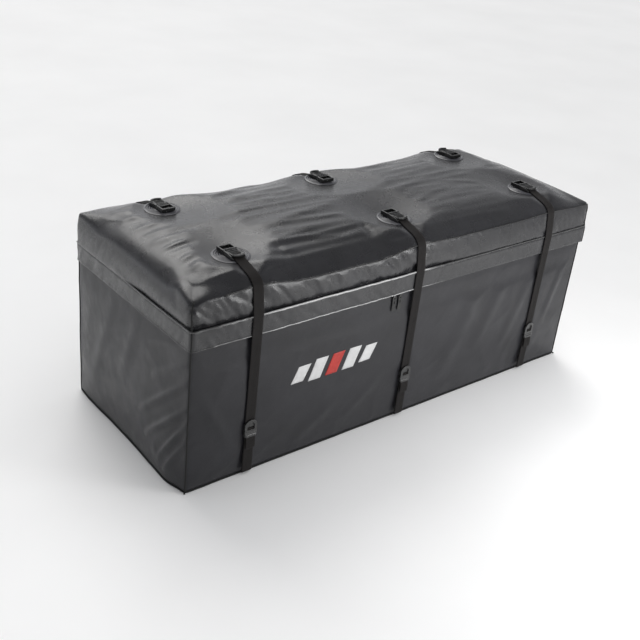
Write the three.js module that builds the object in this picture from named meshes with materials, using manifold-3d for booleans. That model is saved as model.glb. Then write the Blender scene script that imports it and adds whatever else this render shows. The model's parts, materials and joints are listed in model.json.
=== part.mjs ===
// Soft cargo bag for a vehicle hitch tray: a zip-top fabric box whose lid is held down by
// six webbing straps, each with a buckle on the lid and an adjuster near the floor.
// Millimetres, +Z up, length along X, front towards -Y, origin on the floor under the middle.
import * as THREE from "three";
import { mergeVertices } from "three/addons/utils/BufferGeometryUtils.js";
import Module from "manifold-3d";

const wasm = await Module();
wasm.setup();

// Overall size: the fabric box over its rain flaps.
const BAG_LENGTH = 1219;
const BAG_DEPTH = 483;
const LID_EDGE_HEIGHT = 457;
const LID_CROWN = 22;

// Distances from the middle planes out to the faces of the walls.
const WALL_INSET = 8;
const BACK_INSET = 3;
const END_FACE = BAG_LENGTH / 2 - WALL_INSET;
const FRONT_FACE = BAG_DEPTH / 2 - WALL_INSET;
const BACK_FACE = BAG_DEPTH / 2 - BACK_INSET;
const PANEL = 4;
const GAP = 0.3;

// Heights of the zip line and of the panels that end beside it.
const ZIP_HEIGHT = 362;
const TAPE_WIDTH = 11.2;
const TAPE_THICKNESS = 1.2;
const TAPE_CLEARANCE = 0.5;
const WALL_TOP = ZIP_HEIGHT - TAPE_CLEARANCE - TAPE_WIDTH - GAP;
const BAND_BOTTOM = ZIP_HEIGHT + TAPE_CLEARANCE + TAPE_WIDTH + GAP;

// Rain flap: sewn to the lid band at its top and hanging free over the zip.
const FLAP_THICKNESS = 2.5;
const FLAP_SEAM_HEIGHT = 389;
const FLAP_HEM_HEIGHT = 345;
const FLAP_SEAM_LIP = 3;

// Lid crown: how far in from each edge the pillow rises before it is level.
const CROWN_RUN_Y = 49.5;
const CROWN_RUN_X = 96;
const CROWN_STEPS = 4;

// Webbing, straps and where they stand along the bag.
const WEB_WIDTH = 25;
const WEB_THICKNESS = 1.5;
const STRAP_PLANE = BAG_DEPTH / 2 + GAP + WEB_THICKNESS / 2;
const STRAP_STATIONS = { left: -450, center: 0, right: 450 };
const DROP_PIVOT_HEIGHT = 342.5;

// Moulded patches and the buckles on them.
const PATCH_RADIUS = 40.5;
const PATCH_BASE = 2;
const PATCH_RIDGE = 2.8;
const PATCH_RINGS = [24, 28.5, 33, 37.5];
const PATCH_OFFSET = 135;
const PATCH_BOTTOM = LID_EDGE_HEIGHT + LID_CROWN + GAP;
const BUCKLE_BOTTOM = PATCH_BOTTOM + PATCH_RIDGE + GAP;
const BUCKLE_LENGTH = 58;
const BUCKLE_WIDTH = 34;
const BUCKLE_RAIL = 3;
const BUCKLE_FLOOR = 2.2;
const BUCKLE_HEIGHT = 9;
const LEVER_PIVOT = { out: 2, up: 6.8 };
const LEVER_LENGTH = 28;
const LEVER_HUB_RADIUS = 2.6;

// Lower adjuster buckle.
const ADJUSTER_BOTTOM = 92;
const ADJUSTER_TOP = 152;
const ADJUSTER_WIDTH = 32;
const ADJUSTER_INNER = 239.5;
const ADJUSTER_OUTER = 249.5;
const ADJUSTER_SPLIT = 122;
const LOOP_BOTTOM = 7;
const LOOP_TOP = 60;

// Zip sliders and pull tabs.
const SLIDER_CENTRES = { left: -65, right: -47 };
const SLIDER_LENGTH = 16;
const SLIDER_HALF_HEIGHT = 8;
const PULL_PIVOT_HEIGHT = 337;
const PULL_WIDTH = 12;
const PULL_THICKNESS = 2.5;
const PULL_BOTTOM = 302;
const PULL_PLANE = 236.85;

// Materials.
function material(color, roughness, metalness = 0) {
  return new THREE.MeshStandardMaterial({ color, roughness, metalness });
}
const SHELL = { color: 0x3c3c40, roughness: 0.45 };
const LINING = { color: 0x2a2a2c, roughness: 0.8 };
const WEBBING = { color: 0x2b2827, roughness: 0.85 };
const PLASTIC = { color: 0x232323, roughness: 0.4 };
const PATCH = { color: 0x4a4a4e, roughness: 0.4 };
const ZIP_METAL = { color: 0x303030, roughness: 0.35, metalness: 0.6 };

const bag = new THREE.Group();

// Adds one named sub-part to a group and returns its mesh.
function add(name, geometry, look, parent = bag) {
  const mesh = new THREE.Mesh(geometry, material(look.color, look.roughness, look.metalness));
  mesh.name = name;
  parent.add(mesh);
  return mesh;
}

// A box between two corners.
function block(low, high) {
  const size = high.map((value, axis) => value - low[axis]);
  const middle = high.map((value, axis) => (value + low[axis]) / 2);
  return new THREE.BoxGeometry(...size).translate(...middle);
}

// A closed three.js geometry as a solid that can be joined.
function toSolid(geometry) {
  const bare = geometry.index ? geometry.toNonIndexed() : geometry.clone();
  bare.deleteAttribute("normal");
  bare.deleteAttribute("uv");
  const merged = mergeVertices(bare, 1e-4);
  return new wasm.Manifold(
    new wasm.Mesh({
      numProp: 3,
      vertProperties: merged.attributes.position.array,
      triVerts: new Uint32Array(merged.index.array),
    }),
  );
}

// Joins several closed geometries into one.
function join(...geometries) {
  const whole = geometries.map(toSolid).reduce((sum, next) => sum.add(next));
  const mesh = whole.getMesh();
  const joined = new THREE.BufferGeometry();
  joined.setAttribute("position", new THREE.BufferAttribute(mesh.vertProperties, 3));
  joined.setIndex(new THREE.BufferAttribute(mesh.triVerts, 1));
  joined.computeVertexNormals();
  return joined;
}

// A prism with its outline in the YZ plane, centred on X.
function prismAlongX(outline, length) {
  const shape = new THREE.Shape(outline.map(([y, z]) => new THREE.Vector2(y, z)));
  const geometry = new THREE.ExtrudeGeometry(shape, { depth: length, bevelEnabled: false });
  const basis = new THREE.Matrix4().makeBasis(
    new THREE.Vector3(0, 1, 0),
    new THREE.Vector3(0, 0, 1),
    new THREE.Vector3(1, 0, 0),
  );
  return geometry.applyMatrix4(basis).translate(-length / 2, 0, 0);
}

// The outline of a ribbon of webbing whose middle line runs through the given YZ points.
function ribbonOutline(points, thickness) {
  const line = points.map(([y, z]) => new THREE.Vector2(y, z));
  const sides = [[], []];
  line.forEach((point, index) => {
    const before = line[Math.max(index - 1, 0)];
    const after = line[Math.min(index + 1, line.length - 1)];
    const into = point.clone().sub(before);
    const out = after.clone().sub(point);
    const along = into.lengthSq() === 0 ? out.clone() : into.clone();
    along.normalize();
    const ahead = out.lengthSq() === 0 ? along.clone() : out.clone().normalize();
    const mean = along.clone().add(ahead).normalize();
    const stretch = 1 / Math.max(mean.dot(along), 0.5);
    const normal = new THREE.Vector2(-mean.y, mean.x).multiplyScalar((thickness / 2) * stretch);
    sides[0].push(point.clone().add(normal));
    sides[1].unshift(point.clone().sub(normal));
  });
  return sides.flat().map((corner) => [corner.x, corner.y]);
}

function ribbon(points) {
  return prismAlongX(ribbonOutline(points, WEB_THICKNESS), WEB_WIDTH);
}

// Height of the lid's crowned top above its edge.
function rise(distance, run) {
  const inside = THREE.MathUtils.clamp(distance / run, 0, 1);
  return Math.cos((1 - inside) * (Math.PI / 2));
}

function crownHeight(x, y) {
  const acrossX = rise(END_FACE - Math.abs(x), CROWN_RUN_X);
  const acrossY = rise(y < 0 ? FRONT_FACE + y : BACK_FACE - y, CROWN_RUN_Y);
  return LID_CROWN * acrossX * acrossY;
}

// ---- Lower shell: floor, four walls and the zip tape along their top edge ----

function addLowerShell() {
  const wallBottom = PANEL + GAP;
  const innerFront = -FRONT_FACE + PANEL + GAP;
  const innerBack = BACK_FACE - PANEL - GAP;
  add("floor_panel", block([-END_FACE, -FRONT_FACE, 0], [END_FACE, BACK_FACE, PANEL]), SHELL);
  add(
    "front_panel",
    block([-END_FACE, -FRONT_FACE, wallBottom], [END_FACE, -FRONT_FACE + PANEL, WALL_TOP]),
    SHELL,
  );
  add(
    "back_panel",
    block([-END_FACE, BACK_FACE - PANEL, wallBottom], [END_FACE, BACK_FACE, WALL_TOP]),
    SHELL,
  );
  add(
    "left_end_panel",
    block([-END_FACE, innerFront, wallBottom], [-END_FACE + PANEL, innerBack, WALL_TOP]),
    SHELL,
  );
  add(
    "right_end_panel",
    block([END_FACE - PANEL, innerFront, wallBottom], [END_FACE, innerBack, WALL_TOP]),
    SHELL,
  );
  const stripMiddle = BACK_FACE - PANEL / 2;
  add(
    "hinge_strip",
    block(
      [-END_FACE + PANEL, stripMiddle - TAPE_THICKNESS / 2, WALL_TOP + GAP],
      [END_FACE - PANEL, stripMiddle + TAPE_THICKNESS / 2, ZIP_HEIGHT - GAP],
    ),
    LINING,
  );
}

// Zip tape: one strip round the front and both ends, standing in the middle of the walls.
function zipTape(bottom) {
  const outerX = END_FACE - PANEL / 2 + TAPE_THICKNESS / 2;
  const outerY = -FRONT_FACE + PANEL / 2 - TAPE_THICKNESS / 2;
  const innerX = outerX - TAPE_THICKNESS;
  const innerY = outerY + TAPE_THICKNESS;
  const backY = BACK_FACE - PANEL - GAP;
  const plan = new THREE.Shape([
    new THREE.Vector2(-outerX, backY),
    new THREE.Vector2(-outerX, outerY),
    new THREE.Vector2(outerX, outerY),
    new THREE.Vector2(outerX, backY),
    new THREE.Vector2(innerX, backY),
    new THREE.Vector2(innerX, innerY),
    new THREE.Vector2(-innerX, innerY),
    new THREE.Vector2(-innerX, backY),
  ]);
  const geometry = new THREE.ExtrudeGeometry(plan, { depth: TAPE_WIDTH, bevelEnabled: false });
  return geometry.translate(0, 0, bottom);
}

// ---- Lid: crowned top, band on four sides, tape and rain flaps ----

// Stations across the lid: fine steps where the crown rises, coarse ones where it is level.
function lidStation(share, low, high, run) {
  if (share < 1 / 3) return low + run * 3 * share;
  if (share > 2 / 3) return high - run * 3 * (1 - share);
  return low + run + (high - low - 2 * run) * (3 * share - 1);
}

function lidTop() {
  const steps = 3 * CROWN_STEPS;
  const geometry = new THREE.BoxGeometry(1, 1, 1, steps, steps, 1);
  const place = geometry.getAttribute("position");
  for (let index = 0; index < place.count; index += 1) {
    const x = lidStation(place.getX(index) + 0.5, -END_FACE, END_FACE, CROWN_RUN_X);
    const y = lidStation(place.getY(index) + 0.5, -FRONT_FACE, BACK_FACE, CROWN_RUN_Y);
    const layer = place.getZ(index) > 0 ? LID_EDGE_HEIGHT : LID_EDGE_HEIGHT - PANEL;
    place.setXYZ(index, x, y, layer + crownHeight(x, y));
  }
  geometry.computeVertexNormals();
  return geometry;
}

function addLid() {
  const bandTop = LID_EDGE_HEIGHT - PANEL - GAP;
  const innerFront = -FRONT_FACE + PANEL + GAP;
  const innerBack = BACK_FACE - PANEL - GAP;
  add("lid_top", lidTop(), SHELL);
  add(
    "lid_front_band",
    block([-END_FACE, -FRONT_FACE, BAND_BOTTOM], [END_FACE, -FRONT_FACE + PANEL, bandTop]),
    SHELL,
  );
  add(
    "lid_back_band",
    block([-END_FACE, BACK_FACE - PANEL, ZIP_HEIGHT + GAP], [END_FACE, BACK_FACE, bandTop]),
    SHELL,
  );
  add(
    "lid_left_band",
    block([-END_FACE, innerFront, BAND_BOTTOM], [-END_FACE + PANEL, innerBack, bandTop]),
    SHELL,
  );
  add(
    "lid_right_band",
    block([END_FACE - PANEL, innerFront, BAND_BOTTOM], [END_FACE, innerBack, bandTop]),
    SHELL,
  );
}

// A rain flap: a hanging sheet with a lip that turns in to its seam on the band behind it.
// `face` is the band's outer face and `out` the flap's own, both measured outwards.
function rainFlap(face, out, length) {
  const lipBottom = FLAP_SEAM_HEIGHT - FLAP_SEAM_LIP;
  const outline = [
    [-out, FLAP_HEM_HEIGHT],
    [-out + FLAP_THICKNESS, FLAP_HEM_HEIGHT],
    [-out + FLAP_THICKNESS, lipBottom],
    [-face - GAP, lipBottom],
    [-face - GAP, FLAP_SEAM_HEIGHT],
    [-out, FLAP_SEAM_HEIGHT],
  ];
  return prismAlongX(outline, length);
}

function addRainFlaps() {
  const frontOut = BAG_DEPTH / 2;
  const endOut = BAG_LENGTH / 2;
  add("front_rain_flap", rainFlap(FRONT_FACE, frontOut, BAG_LENGTH), SHELL);
  const endLength = BACK_FACE + FRONT_FACE;
  const endMiddle = (BACK_FACE - FRONT_FACE) / 2;
  const ends = { left: -Math.PI / 2, right: Math.PI / 2 };
  for (const [side, turn] of Object.entries(ends)) {
    const flap = add(`${side}_rain_flap`, rainFlap(END_FACE, endOut, endLength), SHELL);
    flap.rotation.z = turn;
    flap.position.y = endMiddle;
  }
}

// ---- Patches and lid buckles ----

// A round moulded patch with raised rings.
function patchGeometry() {
  const profile = [
    [0, 0],
    [PATCH_RADIUS, 0],
    [PATCH_RADIUS, PATCH_BASE / 2],
    [PATCH_RADIUS - 1, PATCH_BASE],
  ];
  for (const ring of [...PATCH_RINGS].reverse()) {
    profile.push([ring + 1, PATCH_BASE], [ring, PATCH_RIDGE], [ring - 1, PATCH_BASE]);
  }
  profile.push([0, PATCH_BASE]);
  const points = profile.map(([radius, height]) => new THREE.Vector2(radius, height));
  return new THREE.LatheGeometry(points, 28).rotateX(Math.PI / 2);
}

// Lid buckle frame: floor, two rails, a rear bar and a bar across the middle.
// Its strap leaves towards local -Y; local Z starts at its underside.
function buckleFrame() {
  const half = BUCKLE_LENGTH / 2;
  const side = BUCKLE_WIDTH / 2;
  const inner = side - BUCKLE_RAIL;
  return join(
    block([-side, -half, 0], [side, half, BUCKLE_FLOOR]),
    block([-side, -half, 0], [-inner, half, BUCKLE_HEIGHT]),
    block([inner, -half, 0], [side, half, BUCKLE_HEIGHT]),
    block([-side, half - 5, 0], [side, half, 6.5]),
    block([-side, 4, 5.2], [side, 10, BUCKLE_HEIGHT + 1]),
  );
}

// Clamping lever: a plate that lies over the strap, hinged on its hub, with a thumb lip.
// Its own origin is the hinge pin.
function leverGeometry() {
  const half = BUCKLE_WIDTH / 2 - BUCKLE_RAIL - 0.5;
  const hub = new THREE.CylinderGeometry(LEVER_HUB_RADIUS, LEVER_HUB_RADIUS, 2 * half, 20);
  hub.rotateZ(Math.PI / 2);
  return join(
    hub,
    block([-half, -LEVER_LENGTH, -1.6], [half, 0, 1.4]),
    block([-half, -LEVER_LENGTH - 2, -1.6], [half, -LEVER_LENGTH + 3, 4.2]),
  );
}

function addLidBuckles() {
  const rows = { front: -1, back: 1 };
  for (const [row, side] of Object.entries(rows)) {
    for (const [place, x] of Object.entries(STRAP_STATIONS)) {
      const station = new THREE.Group();
      station.position.set(x, side * PATCH_OFFSET, 0);
      station.rotation.z = side > 0 ? Math.PI : 0;
      bag.add(station);
      const patch = add(`patch_${row}_${place}`, patchGeometry(), PATCH, station);
      patch.position.z = PATCH_BOTTOM;
      const frame = add(`lid_buckle_${row}_${place}`, buckleFrame(), PLASTIC, station);
      frame.position.z = BUCKLE_BOTTOM;
      const lever = add(`buckle_lever_${row}_${place}`, leverGeometry(), PLASTIC, station);
      lever.position.set(0, -LEVER_PIVOT.out, BUCKLE_BOTTOM + LEVER_PIVOT.up);
    }
  }
}

// ---- Webbing ----

// Middle line of the webbing from the lid buckle, over the crown, to the lid's edge.
// Distances run outwards from the bag's middle.
function overCrown(edge) {
  const floorHeight = BUCKLE_BOTTOM + BUCKLE_FLOOR + GAP + WEB_THICKNESS / 2;
  const buckleEnd = PATCH_OFFSET + BUCKLE_LENGTH / 2 + 1;
  const points = [
    [PATCH_OFFSET - LEVER_PIVOT.out, floorHeight],
    [buckleEnd, floorHeight],
  ];
  for (const share of [0.08, 0.35, 0.6, 0.85]) {
    const out = edge - CROWN_RUN_Y * (1 - share);
    const surface = LID_EDGE_HEIGHT + LID_CROWN * rise(edge - out, CROWN_RUN_Y);
    points.push([out, surface + 1.5]);
  }
  points.push([edge + 1.1, LID_EDGE_HEIGHT + 1]);
  return points;
}

// A strap's end: a ply that turns back on itself behind the strap plane.
function foldedEnd() {
  const inner = STRAP_PLANE - WEB_THICKNESS - 0.45;
  return [
    [STRAP_PLANE, LOOP_BOTTOM + 1],
    [STRAP_PLANE - 0.4, LOOP_BOTTOM],
    [inner + 0.4, LOOP_BOTTOM],
    [inner, LOOP_BOTTOM + 1],
    [inner, LOOP_TOP],
  ];
}

function mirrorTo(side, points) {
  return points.map(([out, height]) => [side * out, height]);
}

function addStraps() {
  const seamTop = FLAP_SEAM_HEIGHT + 2.5;
  const frontUpper = [
    ...overCrown(FRONT_FACE),
    [FRONT_FACE + 1.3, LID_EDGE_HEIGHT - 5],
    [STRAP_PLANE, seamTop],
    [STRAP_PLANE, DROP_PIVOT_HEIGHT + WEB_THICKNESS],
  ];
  const backPlane = BACK_FACE + GAP + WEB_THICKNESS / 2;
  const backUpper = [
    ...overCrown(BACK_FACE),
    [backPlane, LID_EDGE_HEIGHT - 8],
    [backPlane, ZIP_HEIGHT + 2 * GAP],
  ];
  const frontDrop = [
    [STRAP_PLANE, DROP_PIVOT_HEIGHT - GAP],
    [STRAP_PLANE, ADJUSTER_SPLIT + GAP],
  ];
  const frontLoop = [[STRAP_PLANE, ADJUSTER_SPLIT - GAP], ...foldedEnd()];
  const backLower = [
    [backPlane, ZIP_HEIGHT - 2 * GAP],
    [backPlane, 250],
    [STRAP_PLANE, 200],
    ...foldedEnd(),
  ];
  const pieces = {
    front_strap_upper: mirrorTo(-1, frontUpper),
    front_strap_drop: mirrorTo(-1, frontDrop),
    front_strap_loop: mirrorTo(-1, frontLoop),
    back_strap_upper: mirrorTo(1, backUpper),
    back_strap_lower: mirrorTo(1, backLower),
  };
  for (const [place, x] of Object.entries(STRAP_STATIONS)) {
    for (const [piece, points] of Object.entries(pieces)) {
      add(`${piece}_${place}`, ribbon(points), WEBBING).position.x = x;
    }
  }
}

// Adjuster: two rails, outer bars at both ends and an inner bar behind the webbing.
function adjusterGeometry() {
  const side = ADJUSTER_WIDTH / 2;
  const inner = side - 2.8;
  const webOuter = -STRAP_PLANE - WEB_THICKNESS / 2 - 0.5;
  const webInner = -STRAP_PLANE + WEB_THICKNESS / 2 + 0.35;
  const middle = (ADJUSTER_BOTTOM + ADJUSTER_TOP) / 2;
  const railOuter = -ADJUSTER_OUTER + 2.5;
  return join(
    block([-side, railOuter, ADJUSTER_BOTTOM], [-inner, -ADJUSTER_INNER, ADJUSTER_TOP]),
    block([inner, railOuter, ADJUSTER_BOTTOM], [side, -ADJUSTER_INNER, ADJUSTER_TOP]),
    block([-side, railOuter, ADJUSTER_TOP - 8], [side, webOuter, ADJUSTER_TOP]),
    block([-side, -ADJUSTER_OUTER, ADJUSTER_BOTTOM], [side, webOuter, ADJUSTER_BOTTOM + 14]),
    block([-side, webInner, middle - 5], [side, -ADJUSTER_INNER, middle + 5]),
  );
}

function addAdjusters() {
  const rows = { front: 0, back: Math.PI };
  for (const [row, turn] of Object.entries(rows)) {
    for (const [place, x] of Object.entries(STRAP_STATIONS)) {
      const adjuster = add(`${row}_adjuster_${place}`, adjusterGeometry(), PLASTIC);
      adjuster.rotation.z = turn;
      adjuster.position.x = x;
    }
  }
}

// ---- Zip sliders and pull tabs ----

// Slider: a plate on each side of the tape, a web through the zip line between the two
// tapes, and a neck that reaches down behind the rain flap to carry the pull tab.
function sliderGeometry() {
  const tapeMiddle = FRONT_FACE - PANEL / 2;
  const clear = TAPE_THICKNESS / 2 + 0.5;
  const plate = 2;
  const half = SLIDER_LENGTH / 2;
  const top = ZIP_HEIGHT + SLIDER_HALF_HEIGHT;
  const bottom = ZIP_HEIGHT - SLIDER_HALF_HEIGHT;
  const frontIn = -tapeMiddle - clear;
  const backIn = -tapeMiddle + clear;
  const neckIn = -PULL_PLANE + 1;
  const neckOut = -PULL_PLANE - 1;
  return join(
    block([-half, frontIn - plate, bottom], [half, frontIn, top]),
    block([-half, backIn, bottom], [half, backIn + plate, top]),
    block([-3, frontIn - 1, ZIP_HEIGHT - 0.2], [3, backIn + 1, ZIP_HEIGHT + 0.2]),
    block([-2.5, neckOut, bottom], [2.5, frontIn - 1, bottom + 6]),
    block([-2.5, neckOut, PULL_PIVOT_HEIGHT - 3], [2.5, neckIn, bottom + 6]),
  );
}

// Pull tab: a flat tab forked round the slider's neck.
function pullGeometry() {
  const half = PULL_WIDTH / 2;
  const outer = -PULL_PLANE - PULL_THICKNESS / 2;
  const inner = -PULL_PLANE + PULL_THICKNESS / 2;
  const shoulder = PULL_PIVOT_HEIGHT - 3.5;
  const earTop = PULL_PIVOT_HEIGHT + 2.5;
  return join(
    block([-half, outer, PULL_BOTTOM], [half, inner, shoulder]),
    block([-half, outer, shoulder - 1], [-3, inner, earTop]),
    block([3, outer, shoulder - 1], [half, inner, earTop]),
  );
}

function addSliders() {
  for (const [side, x] of Object.entries(SLIDER_CENTRES)) {
    add(`zip_slider_${side}`, sliderGeometry(), ZIP_METAL).position.x = x;
    add(`zip_pull_${side}`, pullGeometry(), PLASTIC).position.x = x;
  }
}

addLowerShell();
add("lower_zip_tape", zipTape(ZIP_HEIGHT - TAPE_CLEARANCE - TAPE_WIDTH), LINING);
addLid();
add("upper_zip_tape", zipTape(ZIP_HEIGHT + TAPE_CLEARANCE), LINING);
addRainFlaps();
addLidBuckles();
addStraps();
addAdjusters();
addSliders();

export default bag;
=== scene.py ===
"""Looks of a soft zip-top cargo bag: coated fabric, webbing, moulded buckles and a zip.

Metres, +Z up, front towards -Y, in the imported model's own frame.
"""
import json
import math
from functools import partial

import bmesh
import bpy
import numpy as np
from mathutils import Matrix, Vector, noise
from mathutils.bvhtree import BVHTree


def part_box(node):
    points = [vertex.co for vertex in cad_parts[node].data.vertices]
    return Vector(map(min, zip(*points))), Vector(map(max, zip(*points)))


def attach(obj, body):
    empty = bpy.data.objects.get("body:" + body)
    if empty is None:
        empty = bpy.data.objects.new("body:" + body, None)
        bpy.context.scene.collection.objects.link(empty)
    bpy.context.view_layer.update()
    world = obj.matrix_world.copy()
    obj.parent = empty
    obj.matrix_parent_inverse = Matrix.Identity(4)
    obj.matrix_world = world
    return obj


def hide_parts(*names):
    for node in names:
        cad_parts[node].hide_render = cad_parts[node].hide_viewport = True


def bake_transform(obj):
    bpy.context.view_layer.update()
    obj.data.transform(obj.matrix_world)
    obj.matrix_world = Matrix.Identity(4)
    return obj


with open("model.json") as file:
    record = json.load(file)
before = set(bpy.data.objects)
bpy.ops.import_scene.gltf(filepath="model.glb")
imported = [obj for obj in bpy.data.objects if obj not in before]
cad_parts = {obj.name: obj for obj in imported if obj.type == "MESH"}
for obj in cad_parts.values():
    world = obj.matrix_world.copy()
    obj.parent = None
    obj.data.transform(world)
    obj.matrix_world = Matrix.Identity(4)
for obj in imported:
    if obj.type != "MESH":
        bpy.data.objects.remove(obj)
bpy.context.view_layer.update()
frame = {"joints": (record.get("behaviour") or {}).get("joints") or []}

MM = 0.001
PLACES = ("left", "center", "right")
ROWS = {"front": -1, "back": 1}


# ---------------------------------------------------------------- sizes from the frame

def low(node):
    return np.array(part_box(node)[0])


def high(node):
    return np.array(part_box(node)[1])


def middle(node):
    return (low(node) + high(node)) / 2


FRONT = low("front_panel")[1]
BACK = high("back_panel")[1]
END = high("right_end_panel")[0]
WALL_TOP = high("front_panel")[2]
BAND_BOTTOM = low("lid_front_band")[2]
ZIP = (high("lower_zip_tape")[2] + low("upper_zip_tape")[2]) / 2
TAPE_THICK = 1.0 * MM
TAPE_FRONT = -low("lower_zip_tape")[1] - 0.6 * MM
TAPE_END = high("lower_zip_tape")[0] - 0.6 * MM
LID_EDGE = high("lid_front_band")[2]
PLATEAU = high("lid_top")[2]
FLAP_OUT = -low("front_rain_flap")[1]
HEM = low("front_rain_flap")[2]
SEAM = high("front_rain_flap")[2]
STRAP_X = {place: middle(f"front_strap_drop_{place}")[0] for place in PLACES}
STRAP_PLANE = -middle("front_strap_drop_left")[1]
STRAP_THICK = high("front_strap_drop_left")[1] - low("front_strap_drop_left")[1]
STRAP_WIDE = high("front_strap_drop_left")[0] - low("front_strap_drop_left")[0]
BACK_STRAP_PLANE = low("back_strap_lower_left")[1] + STRAP_THICK / 2
PATCH_Y = -middle("patch_front_left")[1]
PATCH_R = (high("patch_front_left") - low("patch_front_left"))[0] / 2
PATCH_Z = low("patch_front_left")[2]
BUCKLE_Z = low("lid_buckle_front_left")[2]
BUCKLE_HALF = (high("lid_buckle_front_left") - low("lid_buckle_front_left"))[1] / 2
LEVER_PIN = 2.6 * MM
CLOTH_THICK = 1.0 * MM
FLAP_THICK = 0.9 * MM
BINDING_RADIUS = 2.0 * MM
LEVER_TIP = (high("buckle_lever_front_left") - low("buckle_lever_front_left"))[1] - LEVER_PIN


# ---------------------------------------------------------------- node materials

def add_node(tree, kind, inputs=None, **settings):
    made = tree.nodes.new(kind)
    for key, value in settings.items():
        setattr(made, key, value)
    for key, value in (inputs or {}).items():
        if isinstance(value, bpy.types.NodeSocket):
            tree.links.new(value, made.inputs[key])
        else:
            made.inputs[key].default_value = value
    return made


def calc(tree, operation, *values):
    inputs = dict(enumerate(values))
    return add_node(tree, "ShaderNodeMath", inputs, operation=operation).outputs[0]


def new_material(name, **sockets):
    """A material with a Principled shader whose plain sockets are set, and its node tree."""
    made = bpy.data.materials.new(name)
    made.use_nodes = True
    tree = made.node_tree
    shader = tree.nodes["Principled BSDF"]
    for key, value in sockets.items():
        shader.inputs[key.replace("_", " ")].default_value = value
    return made, tree, shader


def feed(tree, shader, **sockets):
    """Links the outputs of other nodes to a shader's sockets."""
    for key, value in sockets.items():
        tree.links.new(value, shader.inputs[key.replace("_", " ")])


def own_place(tree):
    """A point's place in its own piece's axes."""
    return add_node(tree, "ShaderNodeTexCoord").outputs["Object"]


def cloud(tree, vector, scale, detail):
    """Smooth noise, read at a place."""
    inputs = {"Vector": vector, "Scale": scale, "Detail": detail, "Roughness": 0.5}
    return add_node(tree, "ShaderNodeTexNoise", inputs).outputs["Fac"]


def bumped(tree, height, strength, distance, under=None):
    """The surface's direction after a bump, which may lie on top of another."""
    inputs = {"Height": height, "Strength": strength, "Distance": distance}
    if under is not None:
        inputs["Normal"] = under
    return add_node(tree, "ShaderNodeBump", inputs).outputs["Normal"]


def ramped(tree, share, dark, light, start=0.0, end=1.0):
    """A colour that goes from dark to light as a number rises."""
    ramp = add_node(tree, "ShaderNodeValToRGB", {"Fac": share})
    for stop, place, colour in zip(ramp.color_ramp.elements, (start, end), (dark, light)):
        stop.position = place
        stop.color = (*colour, 1)
    return ramp.outputs["Color"]


def mottled(tree, vector, scale, dark, light):
    """A colour that drifts between two tones."""
    return ramped(tree, cloud(tree, vector, scale, 4.0), dark, light, 0.3, 0.72)


def varied(tree, vector, scale, least, most):
    """A number that drifts between two values."""
    inputs = {0: cloud(tree, vector, scale, 3.0), 1: 0.3, 2: 0.7, 3: least, 4: most}
    return add_node(tree, "ShaderNodeMapRange", inputs).outputs[0]


def plain_weave(tree, thread):
    """Height of a plain weave on faces of any direction, with threads this far apart."""
    place = add_node(tree, "ShaderNodeTexCoord")
    spot = add_node(tree, "ShaderNodeSeparateXYZ", {0: place.outputs["Object"]})
    facing = add_node(tree, "ShaderNodeSeparateXYZ", {0: place.outputs["Normal"]})
    waves = [calc(tree, "SINE", calc(tree, "MULTIPLY", axis, math.pi / thread)) for axis in spot.outputs]
    total = 0.0
    for axis in range(3):
        cross = calc(tree, "MULTIPLY", *(waves[other] for other in range(3) if other != axis))
        part = calc(tree, "MULTIPLY", cross, calc(tree, "ABSOLUTE", facing.outputs[axis]))
        total = calc(tree, "ADD", total, part)
    return total


def coated_fabric(name, dark, light, rough, crinkle=0.35, shine=0.4):
    """Coated polyester: a fine plain weave under a satin film, with small creases."""
    made, tree, shader = new_material(
        name,
        Sheen_Weight=0.04,
        Sheen_Roughness=0.4,
        Specular_IOR_Level=shine,
        Coat_Weight=0.6 * shine,
        Coat_Roughness=0.24,
    )
    spot = own_place(tree)
    creases = bumped(tree, cloud(tree, spot, 34.0, 2.0), crinkle, 2.2 * MM)
    feed(
        tree,
        shader,
        Base_Color=mottled(tree, spot, 9.0, dark, light),
        Roughness=varied(tree, spot, 26.0, rough - 0.06, rough + 0.08),
        Normal=bumped(tree, plain_weave(tree, 0.55 * MM), 0.3, 0.12 * MM, creases),
    )
    return made


def painted_highlight_along_front(tree, spot, dark, pale):
    """The colour of piping with a painted highlight: pale along the front, left of the middle, and dark
    elsewhere.
    """
    along = add_node(tree, "ShaderNodeSeparateXYZ", {0: spot}).outputs["X"]
    off_middle = calc(tree, "ABSOLUTE", calc(tree, "ADD", along, 0.22))
    off_highlight = calc(tree, "DIVIDE", calc(tree, "SUBTRACT", off_middle, 0.21), 0.12)
    uneven = calc(tree, "MULTIPLY", calc(tree, "SUBTRACT", cloud(tree, spot, 14.0, 2.0), 0.5), 2.6)
    # Pale where the painted highlight falls, broken up by noise.
    highlit = {0: calc(tree, "ADD", uneven, 0.85), 1: off_highlight}
    share = add_node(tree, "ShaderNodeMath", highlit, operation="SUBTRACT", use_clamp=True).outputs[0]
    tones = {"Factor": share, 6: (*dark, 1.0), 7: (*pale, 1.0)}
    return add_node(tree, "ShaderNodeMix", tones, data_type="RGBA").outputs[2]


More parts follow.
